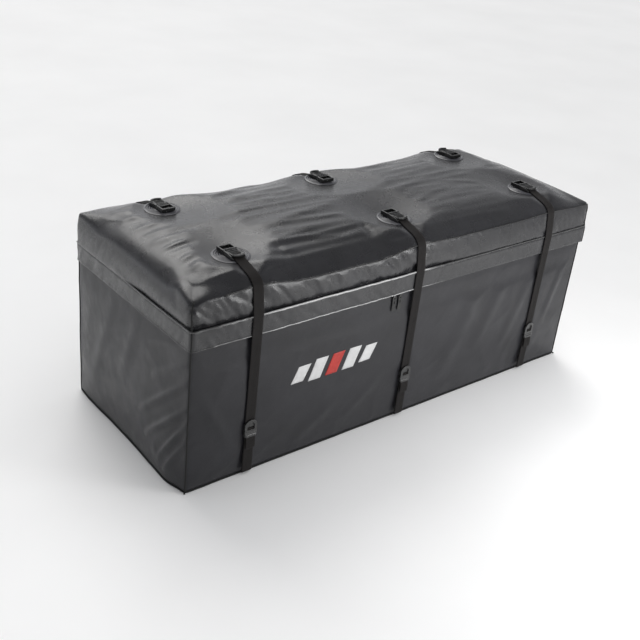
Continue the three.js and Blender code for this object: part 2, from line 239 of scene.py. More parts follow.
def webbing_material(name, tone):
    """Woven webbing: lengthwise ribs crossed by short picks, read from the ribbon's UVs."""
    made, tree, shader = new_material(
        name,
        Roughness=0.8,
        Sheen_Weight=0.03,
        Sheen_Roughness=0.5,
        Specular_IOR_Level=0.3,
    )
    place = add_node(tree, "ShaderNodeTexCoord")
    across, along, _ = add_node(tree, "ShaderNodeSeparateXYZ", {0: place.outputs["UV"]}).outputs
    rib = calc(tree, "SINE", calc(tree, "MULTIPLY", across, math.tau / (1.9 * MM)))
    slanted = calc(tree, "ADD", along, calc(tree, "MULTIPLY", across, 0.9))
    pick = calc(tree, "SINE", calc(tree, "MULTIPLY", slanted, math.tau / (1.5 * MM)))
    height = calc(tree, "ADD", calc(tree, "MULTIPLY", rib, 0.7), calc(tree, "MULTIPLY", pick, 0.4))
    share = add_node(tree, "ShaderNodeMapRange", {0: height, 1: -1.0, 2: 1.0, 3: 0.0, 4: 1.0}).outputs[0]
    # The weave's low points are painted darker: painted shade in the hollows between ribs and picks.
    dark = tuple(0.6 * part for part in tone)
    feed(
        tree,
        shader,
        Base_Color=ramped(tree, share, dark, tone),
        Normal=bumped(tree, height, 0.6, 0.25 * MM),
    )
    return made


def moulded_plastic(name, dark, light, rough, coat=0.0, tint=None):
    """Moulded plastic or rubber with a fine spark-eroded grain."""
    made, tree, shader = new_material(name, Coat_Weight=coat, Coat_Roughness=0.25)
    spot = own_place(tree)
    feed(
        tree,
        shader,
        Base_Color=tint(tree, spot, dark, light) if tint else mottled(tree, spot, 90.0, dark, light),
        Roughness=varied(tree, spot, 140.0, rough - 0.07, rough + 0.07),
        Normal=bumped(tree, cloud(tree, spot, 2400.0, 2.0), 0.25, 0.1 * MM),
    )
    return made


def grey(level):
    return (level, level, level)


BODY_CLOTH = coated_fabric("body_cloth", (0.011, 0.011, 0.0135), (0.018, 0.018, 0.022), 0.36, shine=0.3)
LID_CLOTH = coated_fabric("lid_cloth", (0.012, 0.012, 0.0135), (0.019, 0.019, 0.022), 0.28, shine=0.46)
LINING = coated_fabric("inner_coating", grey(0.050), grey(0.068), 0.5, crinkle=0.2)
BINDING = webbing_material("binding_tape", grey(0.020))
WEBBING = webbing_material("strap_webbing", (0.012, 0.010, 0.0095))
THREAD = moulded_plastic("thread", grey(0.05), grey(0.075), 0.55)
BUCKLE = moulded_plastic("buckle_plastic", grey(0.008), grey(0.013), 0.30, coat=0.5)
PATCH = moulded_plastic("patch_vinyl", (0.045, 0.045, 0.052), (0.07, 0.07, 0.08), 0.32, coat=0.4)
PULL = moulded_plastic("pull_rubber", grey(0.008), grey(0.013), 0.45)
ZIP_BLACK = moulded_plastic("zip_enamel", grey(0.012), grey(0.02), 0.25, coat=0.5)
PIPING = moulded_plastic("piping_vinyl", grey(0.007), grey(0.012), 0.35, coat=0.2)
# The welt and hem cord's pale stretch along the front, left of the middle, is a painted highlight.
WELT = moulded_plastic("welt_vinyl", grey(0.05), grey(0.5), 0.2, coat=0.6, tint=painted_highlight_along_front)
PRINT_WHITE = moulded_plastic("print_white", grey(0.62), grey(0.72), 0.5)
PRINT_RED = moulded_plastic("print_red", (0.42, 0.025, 0.018), (0.52, 0.035, 0.025), 0.5)


# ---------------------------------------------------------------- mesh helpers

def new_piece(name, points, faces, materials, smooth=True):
    """A mesh object from points and faces."""
    mesh = bpy.data.meshes.new(name)
    mesh.from_pydata([tuple(p) for p in points], [], [tuple(f) for f in faces])
    mesh.validate()
    for material in materials:
        mesh.materials.append(material)
    mesh.shade_smooth() if smooth else mesh.shade_flat()
    return place_mesh(name, mesh)


def place_mesh(name, mesh):
    piece = bpy.data.objects.new(name, mesh)
    bpy.context.scene.collection.objects.link(piece)
    return piece


def dress(piece, body, slot, *nodes):
    """Says what a piece moves with and the CAD nodes that it stands for, if any. Its slot is not used."""
    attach(piece, body)
    if nodes:
        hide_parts(*nodes)
    return piece


def values_of(piece, kind):
    flat = np.empty(len(piece.data.vertices) * 3)
    piece.data.vertices.foreach_get(kind, flat)
    return flat.reshape(-1, 3)


def points_of(piece):
    return values_of(piece, "co")


def set_points(piece, points):
    piece.data.vertices.foreach_set("co", points.ravel())
    piece.data.update()


def normals_of(piece):
    return values_of(piece, "normal")


def shown_form(piece):
    return piece.evaluated_get(bpy.context.evaluated_depsgraph_get())


def modify(piece, kind, **settings):
    """Adds a modifier with the given settings."""
    made = piece.modifiers.new(kind.lower(), kind)
    for key, value in settings.items():
        setattr(made, key, value)
    return made


def apply_modifiers(piece):
    """Keeps the modified mesh as the piece's own mesh."""
    mesh = bpy.data.meshes.new_from_object(shown_form(piece))
    piece.modifiers.clear()
    old = piece.data
    piece.data = mesh
    bpy.data.meshes.remove(old)
    return piece


def smooth_step(value, start, end):
    share = np.clip((value - start) / (end - start), 0, 1)
    return share * share * (3 - 2 * share)


def noise_field(points, scale, seed):
    """Smooth noise from -1 to 1 at each point, with its own scale along each axis."""
    stretched = points * np.array(scale) + seed * 7.31
    return np.array([noise.noise(Vector(p)) for p in stretched])


def unit(rows):
    """Each row, scaled to a length of 1."""
    return rows / np.linalg.norm(rows, axis=1)[:, None]


def steps_of(line):
    """The length of each step from a line's point to its next."""
    return np.linalg.norm(np.diff(line, axis=0), axis=1)


def run_along(line):
    """How far along a line each of its points is."""
    return np.concatenate([[0], np.cumsum(steps_of(line))])


def blunted(line, times):
    """A line with its corners blunted and its two ends where they were."""
    line = np.array(line)
    for _ in range(times):
        line[1:-1] = (line[:-2] + 2 * line[1:-1] + line[2:]) / 4
    return line


def quads(rows, across, ring=True, closed=False, turned=False, start=0):
    """Faces between rows of points. Each row is a ring, or a line with two ends."""
    faces = []
    for row in range(rows if closed else rows - 1):
        a = start + row * across
        b = start + (row + 1) % rows * across
        for p in range(across if ring else across - 1):
            q = (p + 1) % across
            faces.append((a + p, a + q, b + q, b + p) if turned else (a + p, b + p, b + q, a + q))
    return faces


def ridges(points, scale, seed):
    """Noise with soft valleys and narrow crests, from 0 to 1."""
    return (1 - np.abs(noise_field(points, scale, seed)) * 2.2).clip(0, 1) ** 2


# ---------------------------------------------------------------- straps and what lies under them

def rounded_line(corners, step, blunt):
    """A line through corners, with evenly spaced points and its corners blunted."""
    corners = [np.array(c, float) for c in corners]
    dense = []
    for start, end in zip(corners, corners[1:]):
        count = max(1, int(np.linalg.norm(end - start) / step))
        dense += [start + (end - start) * i / count for i in range(count)]
    return blunted(dense + [corners[-1]], blunt)


def faces_out(line):
    """The direction at each point of a strap's line in which its outer face looks."""
    ahead = unit(np.gradient(line, axis=0))
    outward = np.stack([-ahead[:, 1], ahead[:, 0]], axis=1)
    inwards = outward[0][1] < 0 or (abs(outward[0][1]) < 0.5 and outward[0][0] < 0)
    return -outward if inwards else outward


def from_straps(x):
    """The distance of each x from the nearest strap's middle."""
    return np.min([np.abs(x - spot) for spot in STRAP_X.values()], axis=0)


def patch_distances(points):
    """For each of the six patches, every point's distance from its middle, seen from above."""
    for side in ROWS.values():
        for x in STRAP_X.values():
            yield np.hypot(points[:, 0] - x, points[:, 1] - side * PATCH_Y)


def upper_route(edge, plane, bottom, sunk=0.0):
    """Middle line of a strap, as (out, height): from its lid buckle over the edge and down."""
    floor = BUCKLE_Z + 3.2 * MM
    return [
        (PATCH_Y - 2 * MM, floor),
        (PATCH_Y + BUCKLE_HALF + 1 * MM, floor),
        (PATCH_Y + BUCKLE_HALF + 16 * MM, PLATEAU + 1.2 * MM - sunk),
        (edge - 20 * MM, PLATEAU - 8 * MM - sunk),
        (edge - 4 * MM, LID_EDGE + 9 * MM - 0.6 * sunk),
        (edge + 1.6 * MM, LID_EDGE - 4 * MM),
        (plane, SEAM + 2 * MM),
        (plane, bottom),
    ]


ADJUSTER_LOW = low("front_adjuster_left")[2]
ADJUSTER_HIGH = high("front_adjuster_left")[2]
ADJUSTER_MIDDLE = (ADJUSTER_LOW + ADJUSTER_HIGH) / 2
FOLD_BOTTOM = low("front_strap_loop_left")[2]
FOLD_TOP = 60 * MM

FRONT_ROUTE = upper_route(-FRONT, STRAP_PLANE, ADJUSTER_MIDDLE + 0.5 * MM)
BACK_ROUTE = [
    *upper_route(BACK, BACK_STRAP_PLANE, LID_EDGE - 50 * MM, sunk=5 * MM)[:6],
    (BACK_STRAP_PLANE, LID_EDGE - 12 * MM),
    (BACK_STRAP_PLANE, 250 * MM),
    (STRAP_PLANE, 200 * MM),
    (STRAP_PLANE, ADJUSTER_MIDDLE),
]


def fold_route():
    """The strap's end: down to the floor and back up behind itself."""
    inner = STRAP_PLANE - STRAP_THICK - 0.45 * MM
    return [
        (STRAP_PLANE, ADJUSTER_MIDDLE - 0.5 * MM),
        (STRAP_PLANE, FOLD_BOTTOM + 2 * MM),
        (STRAP_PLANE - 0.6 * MM, FOLD_BOTTOM + 0.6 * MM),
        (inner + 0.6 * MM, FOLD_BOTTOM + 0.6 * MM),
        (inner, FOLD_BOTTOM + 2 * MM),
        (inner, FOLD_TOP),
    ]


def press_under(points, route, side, clear=0.9 * MM, low_clear=0.0, reach=55 * MM, slope=0.35):
    """Pushes fabric in beneath each strap of a row, and lets it rise again on both sides."""
    line = rounded_line(route, 4 * MM, 3)
    room = clear + low_clear * (1 - smooth_step(line[:, 1], ADJUSTER_HIGH, ADJUSTER_HIGH + 60 * MM))
    outward = faces_out(line)
    spots = np.stack([points[:, 1] * side, points[:, 2]], axis=1)
    for x in STRAP_X.values():
        beside = np.abs(points[:, 0] - x) - STRAP_WIDE / 2 - 1.5 * MM
        near = np.flatnonzero((beside < reach) & (spots[:, 0] > 0.1))
        gaps = spots[near][:, None] - line[None]
        nearest = np.linalg.norm(gaps, axis=2).argmin(axis=1)
        picked = np.arange(len(near))
        proud = (gaps[picked, nearest] * outward[nearest]).sum(axis=1)
        along = np.linalg.norm(gaps[picked, nearest], axis=1)
        most = -STRAP_THICK / 2 - room[nearest] + slope * np.clip(beside[near], 0, None)
        excess = np.where(along < 40 * MM, np.clip(proud - most, 0, None), 0)
        points[near, 1] -= side * excess * outward[nearest, 0]
        points[near, 2] -= excess * outward[nearest, 1]
    return points


# ---------------------------------------------------------------- fabric shells

class ShellGrid:
    """A box's flat face and its four sides as one grid of quads.

    side -1 has its flat face on top and its sides going down, +1 the other way up.
    """

    def __init__(self, lowest, highest, step, side):
        counts = [max(2, round((h - l) / step)) for l, h in zip(lowest, highest)]
        nx, ny, nz = counts
        xs = np.linspace(lowest[0], highest[0], nx + 1)
        ys = np.linspace(lowest[1], highest[1], ny + 1)
        flat_z, far_z = (highest[2], lowest[2]) if side < 0 else (lowest[2], highest[2])
        self.across = nx
        self.levels = nz
        grid = {(i, j): i * (ny + 1) + j for i in range(nx + 1) for j in range(ny + 1)}
        points = [(xs[i], ys[j], flat_z) for i in range(nx + 1) for j in range(ny + 1)]
        rim = [(i, 0) for i in range(nx)] + [(nx, j) for j in range(ny)]
        rim += [(i, ny) for i in range(nx, 0, -1)] + [(0, j) for j in range(ny, 0, -1)]
        self.rings = [[grid[spot] for spot in rim]]
        for level in range(1, nz + 1):
            z = flat_z + (far_z - flat_z) * level / nz
            self.rings.append([len(points) + p for p in range(len(rim))])
            points += [(xs[i], ys[j], z) for i, j in rim]
        faces = []
        for i in range(nx):
            for j in range(ny):
                quad = [grid[i, j], grid[i + 1, j], grid[i + 1, j + 1], grid[i, j + 1]]
                faces.append(quad if side < 0 else quad[::-1])
        for upper, lower in zip(self.rings, self.rings[1:]):
            if side > 0:
                upper, lower = lower, upper
            for p in range(len(rim)):
                q = (p + 1) % len(rim)
                faces.append([lower[p], lower[q], upper[q], upper[p]])
        self.points = np.array(points)
        self.faces = faces


def round_corners(points, lowest, highest, radii):
    """Rounds a box's edges, but not those of its open top."""
    centre = (np.array(lowest) + np.array(highest)) / 2
    half = (np.array(highest) - np.array(lowest)) / 2
    radii = np.array(radii)
    offset = points - centre
    offset[:, 2] = np.clip(offset[:, 2], None, 0)
    core = np.clip(np.abs(offset) - (half - radii), 0, None) / radii
    length = np.linalg.norm(core, axis=1)
    length[length == 0] = 1
    shrink = core / length[:, None] - core
    shrink[np.all(core < 1e-9, axis=1)] = 0
    return points + np.sign(offset) * shrink * radii


def cloth_settle(piece, pinned, growth, pressure, bending, frames, cap):
    """Lets cut cloth that is a little too big swell and buckle between its fixed points."""
    start = points_of(piece)
    piece.shape_key_add(name="Basis")
    cut = piece.shape_key_add(name="cut")
    cut.data.foreach_set("co", (start * np.array(growth)).ravel())
    group = piece.vertex_groups.new(name="pins")
    for weight in np.unique(pinned[pinned > 0]):
        group.add(np.flatnonzero(pinned == weight).tolist(), float(weight), "REPLACE")
    cloth = modify(piece, "CLOTH")
    fabric = cloth.settings
    plain = dict(quality=5, mass=0.25, tension_stiffness=25, compression_stiffness=25)
    plain.update(shear_stiffness=12, bending_stiffness=bending, air_damping=4)
    plain.update(use_pressure=True, uniform_pressure_force=pressure)
    for key, value in plain.items():
        setattr(fabric, key, value)
    fabric.effector_weights.gravity = 0
    fabric.vertex_group_mass = "pins"
    fabric.rest_shape_key = cut
    cloth.collision_settings.use_collision = False
    cloth.collision_settings.use_self_collision = False
    cloth.point_cache.frame_start = 1
    cloth.point_cache.frame_end = frames
    for number in range(1, frames + 1):
        bpy.context.scene.frame_set(number)
    settled = np.array([v.co for v in shown_form(piece).data.vertices])
    piece.modifiers.clear()
    piece.shape_key_clear()
    piece.vertex_groups.clear()
    bpy.context.scene.frame_set(1)
    move = settled - start
    length = np.linalg.norm(move, axis=1)
    length[length == 0] = 1
    return start + move * (np.minimum(length, cap) / length)[:, None]


def folds(points, normals, creases):
    """Raises listed folds: each is start, end, width and height in millimetres."""
    for start, end, width, height in creases:
        a, b = np.array(start) * MM, np.array(end) * MM
        along = (points - a) @ (b - a) / ((b - a) @ (b - a))
        foot = a + np.clip(along, 0, 1)[:, None] * (b - a)
        gap = np.linalg.norm(points - foot, axis=1) / (width * MM)
        taper = np.sin(np.clip(along, 0, 1) * math.pi) ** 0.7
        profile = np.exp(-(gap ** 2)) - 0.45 * np.exp(-((gap / 2.1) ** 2))
        points = points + normals * (height * MM * profile * taper)[:, None]
    return points


def thicken(piece, thickness, lining_index):
    """Gives a shell its thickness inwards, with the lining's material inside."""
    modify(piece, "SOLIDIFY", thickness=thickness, offset=-1, material_offset=lining_index)
    return apply_modifiers(piece)


def subdivide(piece):
    modify(piece, "SUBSURF", levels=1, render_levels=1)
    return apply_modifiers(piece)


# ---------------------------------------------------------------- lid

LID_TOP = PLATEAU + 5 * MM
ROLL_HEIGHT = 31 * MM
SHARP_EDGE = 6 * MM
PLEAT_SEED = 5
CORNER_HEIGHT = LID_EDGE + 5.5 * MM
LID_LOW = (-END, FRONT, BAND_BOTTOM)
LID_HIGH = (END, BACK, LID_TOP)
FRONT_HANG = 12 * MM
SEAM_SHARE = (LID_TOP - ROLL_HEIGHT - BAND_BOTTOM) / (LID_TOP - BAND_BOTTOM)

# Each fold: start, end (mm), width, height.
TOP_FOLDS = [
    ((-575, 62, 480), (-300, 44, 488), 9, 6.0),
    ((-580, -12, 480), (-250, -34, 490), 8, 7.0),
    ((-575, 24, 480), (-380, 14, 488), 7, 5.0),
    ((-575, -78, 480), (-330, -72, 486), 8, 6.4),
    ((-575, -48, 480), (-400, -50, 486), 6, 5.0),
    ((-570, -112, 480), (-500, -106, 482), 7, 4.6),
    ((-575, -150, 478), (-490, -138, 480), 8, 5.2),
    ((-560, 118, 476), (-500, 100, 482), 9, 4.4),
    ((-560, 160, 474), (-490, 140, 480), 9, 4.6),
    ((-400, -66, 486), (-90, -36, 490), 11, 4.8),
    ((-400, 30, 490), (-120, 70, 488), 11, 5.0),
    ((-380, -10, 490), (-160, 6, 490), 8, 3.8),
    ((-380, 110, 484), (-150, 190, 476), 11, 4.6),
    ((-400, -118, 482), (-180, -158, 484), 8, 4.4),
    ((-60, -100, 484), (-260, -64, 488), 9, 4.0),
    ((-395, -150, 482), (-300, -176, 480), 7, 3.6),
    ((-60, -150, 482), (-190, -168, 480), 8, 3.2),
    ((50, -104, 484), (270, -60, 488), 10, 4.2),
    ((60, -30, 490), (330, 20, 490), 12, 3.6),
    ((-30, 90, 486), (-200, 30, 490), 11, 3.8),
    ((50, 120, 484), (330, 175, 478), 12, 4.2),
    ((90, 60, 488), (390, 90, 486), 10, 3.6),
    ((410, -96, 486), (230, -20, 490), 10, 3.6),
    ((500, 40, 486), (585, 90, 470), 12, 3.0),
]


def rolled(points):
    """1 where the lid's fabric rolls over its edge, 0 where its corners are pulled sharp."""
    x, y = points[:, 0], points[:, 1]
    front = smooth_step(-y, -0.16, 0.06)
    left_end = smooth_step(-x, 0.35, 0.56) * smooth_step(-y, -0.235, -0.12)
    right_corner = smooth_step(x, END - 150 * MM, END - 25 * MM)
    return np.maximum(front, left_end) * (1 - right_corner)


def loose_front(x):
    """1 midway between the left and centre straps, less elsewhere, 0 beneath each strap."""
    between = smooth_step(from_straps(x), 15 * MM, 125 * MM)
    share = np.where(x > STRAP_X["center"], 0.25, 1.0)
    return between * np.where(x < STRAP_X["left"], 0.5, share)


def lid_top_height(x, y, roll, hang):
    """Height of the lid's top: a low crown, with sharp, peaked corners where it isn't rolled."""
    to_end = END - np.abs(x)
    to_side = np.minimum(BACK - y, y - FRONT)
    rise = smooth_step(to_end, 12 * MM, 122 * MM) * smooth_step(to_side, 0, 80 * MM)
    sag = 9 * MM * np.sin(np.clip(to_end / END, 0, 1) * math.pi / 2) * smooth_step(y, 0.10, 0.22)
    peak = 9 * MM * smooth_step(-x, 0.40, 0.60) * smooth_step(y, 0.08, 0.22)
    top = LID_TOP - (1 - roll) * (1 - rise) * (LID_TOP - CORNER_HEIGHT - peak + sag)
    top -= 9 * MM * smooth_step(from_straps(x), 40 * MM, 170 * MM) * smooth_step(y, 0.06, 0.18)
    crown = np.cos(np.clip((y - 0.04) / 0.19, -1, 1) * math.pi / 2) ** 2
    top -= hang * smooth_step(-y, 0.0, 0.19)
    return top + 10 * MM * crown * smooth_step(to_end, 60 * MM, 200 * MM)


def lid_blank(points):
    """Bends a box of fabric into the lid: a rolled front, peaked corners, a low crown."""
    x, y, z = points.T
    roll = rolled(points)
    hang = FRONT_HANG * loose_front(x)
    top = lid_top_height(x, y, roll, hang)
    edge_height = SHARP_EDGE + (ROLL_HEIGHT - SHARP_EDGE) * roll
    share = (z - BAND_BOTTOM) / (LID_TOP - BAND_BOTTOM)
    lower = BAND_BOTTOM + (top - edge_height - BAND_BOTTOM) * share / SEAM_SHARE
    upper = top - edge_height * (1 - share) / (1 - SEAM_SHARE)
    z = np.where(share < SEAM_SHARE, lower, upper)
    boxy = smooth_step(-x, END - 125 * MM, END - 20 * MM) * smooth_step(-y, 0.10, 0.20)
    tall = smooth_step(z + hang - 17 * MM * boxy, LID_EDGE - 26 * MM, LID_EDGE + 8 * MM)
    broad = 46 * MM + 34 * MM * smooth_step(-x, 0.2, 0.5) * smooth_step(y, FRONT, FRONT + 0.12)
    deep = 42 * MM - 0.8 * hang + 40 * MM * smooth_step(-x, 0.38, 0.60)
    radii = [8 * MM + broad * roll * tall, 8 * MM + deep * roll * tall, edge_height]
    return bent_over(np.stack([x, y, z], axis=1), np.stack(radii, axis=1), top, 2 - 0.65 * roll * tall)


def bent_over(points, radii, top, power):
    """Rounds the lid's edges by radii along each axis. A power of 2 is round, less is fuller."""
    middle_y = (FRONT + BACK) / 2
    offset = points - (0, middle_y, 0)
    half = np.stack([np.full(len(top), END), np.full(len(top), (BACK - FRONT) / 2), top], axis=1)
    inner = half - radii
    size = np.abs(offset)
    core = np.clip(size - inner, 0, None) / radii
    length = (core ** power[:, None]).sum(axis=1) ** (1 / power)
    length[length == 0] = 1
    bent = np.where(core > 0, inner + radii * core / length[:, None], size) * np.sign(offset)
    return bent + (0, middle_y, 0)


def band_swell(points, normals):
    """The lid's side bands stand out between their top seam and the rain flap's seam."""
    height = points[:, 2]
    rise = smooth_step(height, SEAM - 7 * MM, SEAM)
    fall = 1 - smooth_step(height, SEAM + 38 * MM, LID_EDGE + 6 * MM)
    middle_bulge = smooth_step(height, SEAM, SEAM + 16 * MM)
    ledge = ledge_share(points)
    out = MM * rise * fall * (1.2 + 3.8 * middle_bulge + 4.4 * ledge * (1 - middle_bulge))
    sideways = np.sign(points[:, :2]) * (np.abs(normals[:, :2]) > 0.35) * np.abs(normals[:, :2])
    sideways[:, 1] *= points[:, 1] < 0
    points = points.copy()
    points[:, :2] += sideways * out[:, None]
    return points


def ledge_share(points):
    """1 where the band overhangs the rain flap's seam, 0 where the seam's welt stands proud."""
    on_front = smooth_step(points[:, 0], 0.02, 0.16)
    on_end = smooth_step(points[:, 1], -0.06, 0.04)
    return np.where(points[:, 1] < FRONT + 15 * MM, on_front, on_end)


def pleat_height(points):
    """Gathers down the bands, in millimetres outwards: broad folds between narrow grooves."""
    x, y, z = points.T
    lean = x + y + 0.95 * (z - SEAM)
    grooves = ridges(np.stack([lean, 0 * x, z], axis=1), (34, 1, 10), PLEAT_SEED)
    fine = ridges(np.stack([lean * 0.9 - 0.4 * z, 0 * x, z], axis=1), (80, 1, 15), PLEAT_SEED + 4)
    drift = noise_field(np.stack([x, y, 0 * z], axis=1), (5, 5, 1), PLEAT_SEED + 9)
    strength = 0.6 + 0.4 * drift
    gathered = 0.4 + 0.95 * smooth_step(-x, -0.30, 0.42)
    return (1.8 - 6.0 * grooves - 2.8 * fine) * strength * gathered


def add_pleats(points, normals):
    """Gathers the bands between the rain flap's seam and the roll, most on the front."""
    height = points[:, 2]
    within = smooth_step(height, SEAM - 2 * MM, SEAM + 5 * MM)
    edge = LID_EDGE - FRONT_HANG * loose_front(points[:, 0])
    within *= 1 - smooth_step(height, edge - 10 * MM, edge + 1 * MM)
    on_front = smooth_step(-points[:, 1], 0.215, 0.232)
    shown = within * (0.12 + 0.88 * on_front)
    return points + normals * (MM * pleat_height(points) * shown)[:, None]


def lid_limits(points):
    """Keeps the lid's fabric clear of the patches, straps, rain flaps and hinge."""
    for from_patch in patch_distances(points):
        most = PATCH_Z - 0.4 * MM + 0.16 * np.clip(from_patch - PATCH_R, 0, None)
        top = points[:, 2] > LID_EDGE
        points[top, 2] = np.minimum(points[top, 2], most[top])
    press_under(points, FRONT_ROUTE, -1)
    press_under(points, BACK_ROUTE[:8], 1)
    height = points[:, 2]
    sewn = smooth_step(height, SEAM - 7 * MM, SEAM)
    front_most = -FRONT + 0.3 * MM + 9 * MM * sewn
    end_most = END + 0.3 * MM + 9 * MM * sewn
    back_most = np.full(len(points), BACK + 0.1 * MM)
    points[:, 1] = np.clip(points[:, 1], -front_most, back_most)
    points[:, 0] = np.clip(points[:, 0], -end_most, end_most)
    return points


def pin_lid(points, grid, seam):
    """Marks the lid's fixed points: its lower edge, its sewn seam and those under the patches."""
    sewn = seam[(points[seam, 0] > -END + 60 * MM) | (points[seam, 1] > BACK - 20 * MM)]
    pinned = np.zeros(len(points))
    for ring in [*grid.rings[-3:], sewn]:
        pinned[ring] = 1
    for from_patch in patch_distances(points):
        under = (from_patch < PATCH_R - 3 * MM) & (points[:, 2] > LID_EDGE)
        pinned[under] = 1
        points[under, 2] = PATCH_Z - 0.5 * MM
    return pinned


def wrinkled_top(piece, points):
    """The lid's fabric with its folds and long wrinkles raised."""
    points = folds(points, normals_of(piece), TOP_FOLDS)
    wrinkles = ridges(points, (2.3, 33, 9), 21) * smooth_step(points[:, 2], 0.462, 0.476)
    wrinkles *= smooth_step(END - np.abs(points[:, 0]), 30 * MM, 90 * MM)
    left_share = 0.7 + 1.0 * smooth_step(-points[:, 0], 0.0, 0.35)
    return points + normals_of(piece) * (MM * 2.7 * wrinkles * left_share)[:, None]


def make_lid():
    grid = ShellGrid(LID_LOW, LID_HIGH, 8 * MM, -1)
    points = lid_blank(grid.points)
    piece = new_piece("lid_fabric", points, grid.faces, [LID_CLOTH, LINING])
    set_points(piece, band_swell(points, normals_of(piece)))
    points = points_of(piece)
    seam = np.array(grid.rings[round((1 - SEAM_SHARE) * grid.levels)])
    pinned = pin_lid(points, grid, seam)
    set_points(piece, points)
    growth = (1.012, 1.035, 1.03)
    settled = cloth_settle(piece, pinned, growth, pressure=1.2, bending=0.6, frames=34, cap=13 * MM)
    set_points(piece, settled)
    settled = wrinkled_top(piece, settled)
    settled[grid.rings[-1], 2] = BAND_BOTTOM
    settled = lid_limits(settled)
    set_points(piece, settled)
    front_seam = settled[seam[: grid.across + 1]]
    front_seam = front_seam[front_seam[:, 0] > -END + 66 * MM]
    subdivide(piece)
    pleated = add_pleats(points_of(piece), normals_of(piece))
    set_points(piece, lid_limits(pleated))
    tree = BVHTree.FromObject(piece, bpy.context.evaluated_depsgraph_get())
    bands = [f"lid_{side}_band" for side in ("front", "back", "left", "right")]
    dress(thicken(piece, CLOTH_THICK, 1), "lid", "lid_fabric", "lid_top", *bands)
    return front_seam, tree


# ---------------------------------------------------------------- body

BODY_LOW = (-END, FRONT, 0.5 * MM)
BODY_HIGH = (END, BACK, WALL_TOP)

WALL_FOLDS = [
    ((-603, -238, 276), (-612, -60, 120), 9, 8.0),
    ((-603, -238, 215), (-614, -85, 70), 8, 9.5),
    ((-603, -238, 182), (-614, -140, 40), 7, 9.0),
    ((-603, -238, 318), (-612, -100, 225), 10, 6.0),
    ((-603, -238, 140), (-614, -165, 24), 7, 7.5),
    ((-604, -180, 340), (-612, -60, 290), 9, 3.6),
    ((-604, 60, 330), (-612, 170, 60), 22, 3.4),
    ((-604, -40, 335), (-612, 30, 150), 20, 2.8),
    ((250, -240, 340), (120, -240, 60), 26, 4.2),
    ((340, -240, 335), (240, -240, 120), 22, 3.6),
    ((430, -240, 300), (330, -240, 70), 18, 3.0),
    ((560, -240, 320), (500, -240, 120), 14, 3.0),
    ((-200, -240, 120), (-330, -240, 30), 18, 2.8),
    ((-80, -240, 140), (-190, -240, 40), 16, 2.4),
    ((-590, -240, 260), (-480, -240, 60), 14, 2.6),
    ((604, -190, 320), (612, 40, 70), 18, 4.0),
    ((604, -60, 330), (612, 150, 140), 16, 3.4),
    ((604, 200, 300), (612, 60, 40), 14, 3.8),
    ((-300, 240, 230), (-120, 240, 40), 20, 2.6),
    ((180, 240, 230), (330, 240, 50), 18, 2.6),
]


def body_limits(points):
    """Keeps the walls behind the zip pulls, straps, adjusters and the lid folded back."""
    height = points[:, 2]
    below = 1 - smooth_step(height, 225 * MM, 300 * MM)
    front_most = -FRONT + 1.4 * MM + 11 * MM * below
    back_most = BACK + 0.1 * MM + 8 * MM * (1 - smooth_step(height, 170 * MM, 245 * MM))
    end_most = END + 1.0 * MM + 22 * MM * (1 - smooth_step(height, 290 * MM, 345 * MM))
    points[:, 1] = np.clip(points[:, 1], -front_most, back_most)
    points[:, 0] = np.clip(points[:, 0], -end_most, end_most)
    foot = fold_route()[1:2]
    press_under(points, [*FRONT_ROUTE[6:], *foot], -1, low_clear=2.3 * MM)
    press_under(points, [*BACK_ROUTE[6:], *foot], 1, low_clear=2.1 * MM)
    points[:, 2] = np.clip(points[:, 2], 0.3 * MM, None)
    return points


def bulge_foot(points):
    """Lets the load push the end walls out, most at the floor and halfway along."""
    x, y, z = points.T
    share = np.clip((y - FRONT) / (BACK - FRONT), 0, 1)
    along = smooth_step(share, 0, 0.13) * (1 - 0.7 * smooth_step(share, 0.1, 0.6))
    along *= 1 - smooth_step(share, 0.88, 1)
    low_down = 1 - smooth_step(z, 0, 0.28)
    near_end = smooth_step(np.abs(x), END - 0.10, END)
    points[:, 0] += np.sign(x) * 12 * MM * along * low_down * near_end
    return points


def make_body():
    grid = ShellGrid(BODY_LOW, BODY_HIGH, 9 * MM, 1)
    radii = (6 * MM, 6 * MM, 5 * MM)
    points = round_corners(grid.points, BODY_LOW, BODY_HIGH, radii)
    piece = new_piece("body_fabric", points, grid.faces, [BODY_CLOTH, LINING])
    flat_count = grid.rings[1][0]
    pinned = np.zeros(len(points))
    pinned[:flat_count] = 1
    for x in (-END, END):
        for y in (FRONT, BACK):
            pinned[np.hypot(points[:, 0] - x, points[:, 1] - y) < 6 * MM] = 1
    for ring in grid.rings[-2:]:
        pinned[ring] = 1
    growth = (1.006, 1.014, 1.012)
    settled = cloth_settle(piece, pinned, growth, pressure=1.6, bending=2.0, frames=26, cap=16 * MM)
    set_points(piece, settled)
    settled[grid.rings[-1], 2] = WALL_TOP
    set_points(piece, body_limits(bulge_foot(settled)))
    subdivide(piece)
    creased = folds(points_of(piece), normals_of(piece), WALL_FOLDS)
    crinkle = ridges(creased + 0.6 * creased[:, [1, 0, 2]], (7, 7, 6), 41)
    crinkle *= smooth_step(WALL_TOP - creased[:, 2], 5 * MM, 40 * MM) * (creased[:, 2] > 4 * MM)
    creased += normals_of(piece) * (0.9 * MM * crinkle)[:, None]
    set_points(piece, body_limits(creased))
    tree = BVHTree.FromObject(piece, bpy.context.evaluated_depsgraph_get())
    walls = [f"{side}_panel" for side in ("floor", "front", "back", "left_end", "right_end")]
    dress(thicken(piece, CLOTH_THICK, 1), "bag", "shell_fabric", *walls)
    return tree


# ---------------------------------------------------------------- strips round the bag

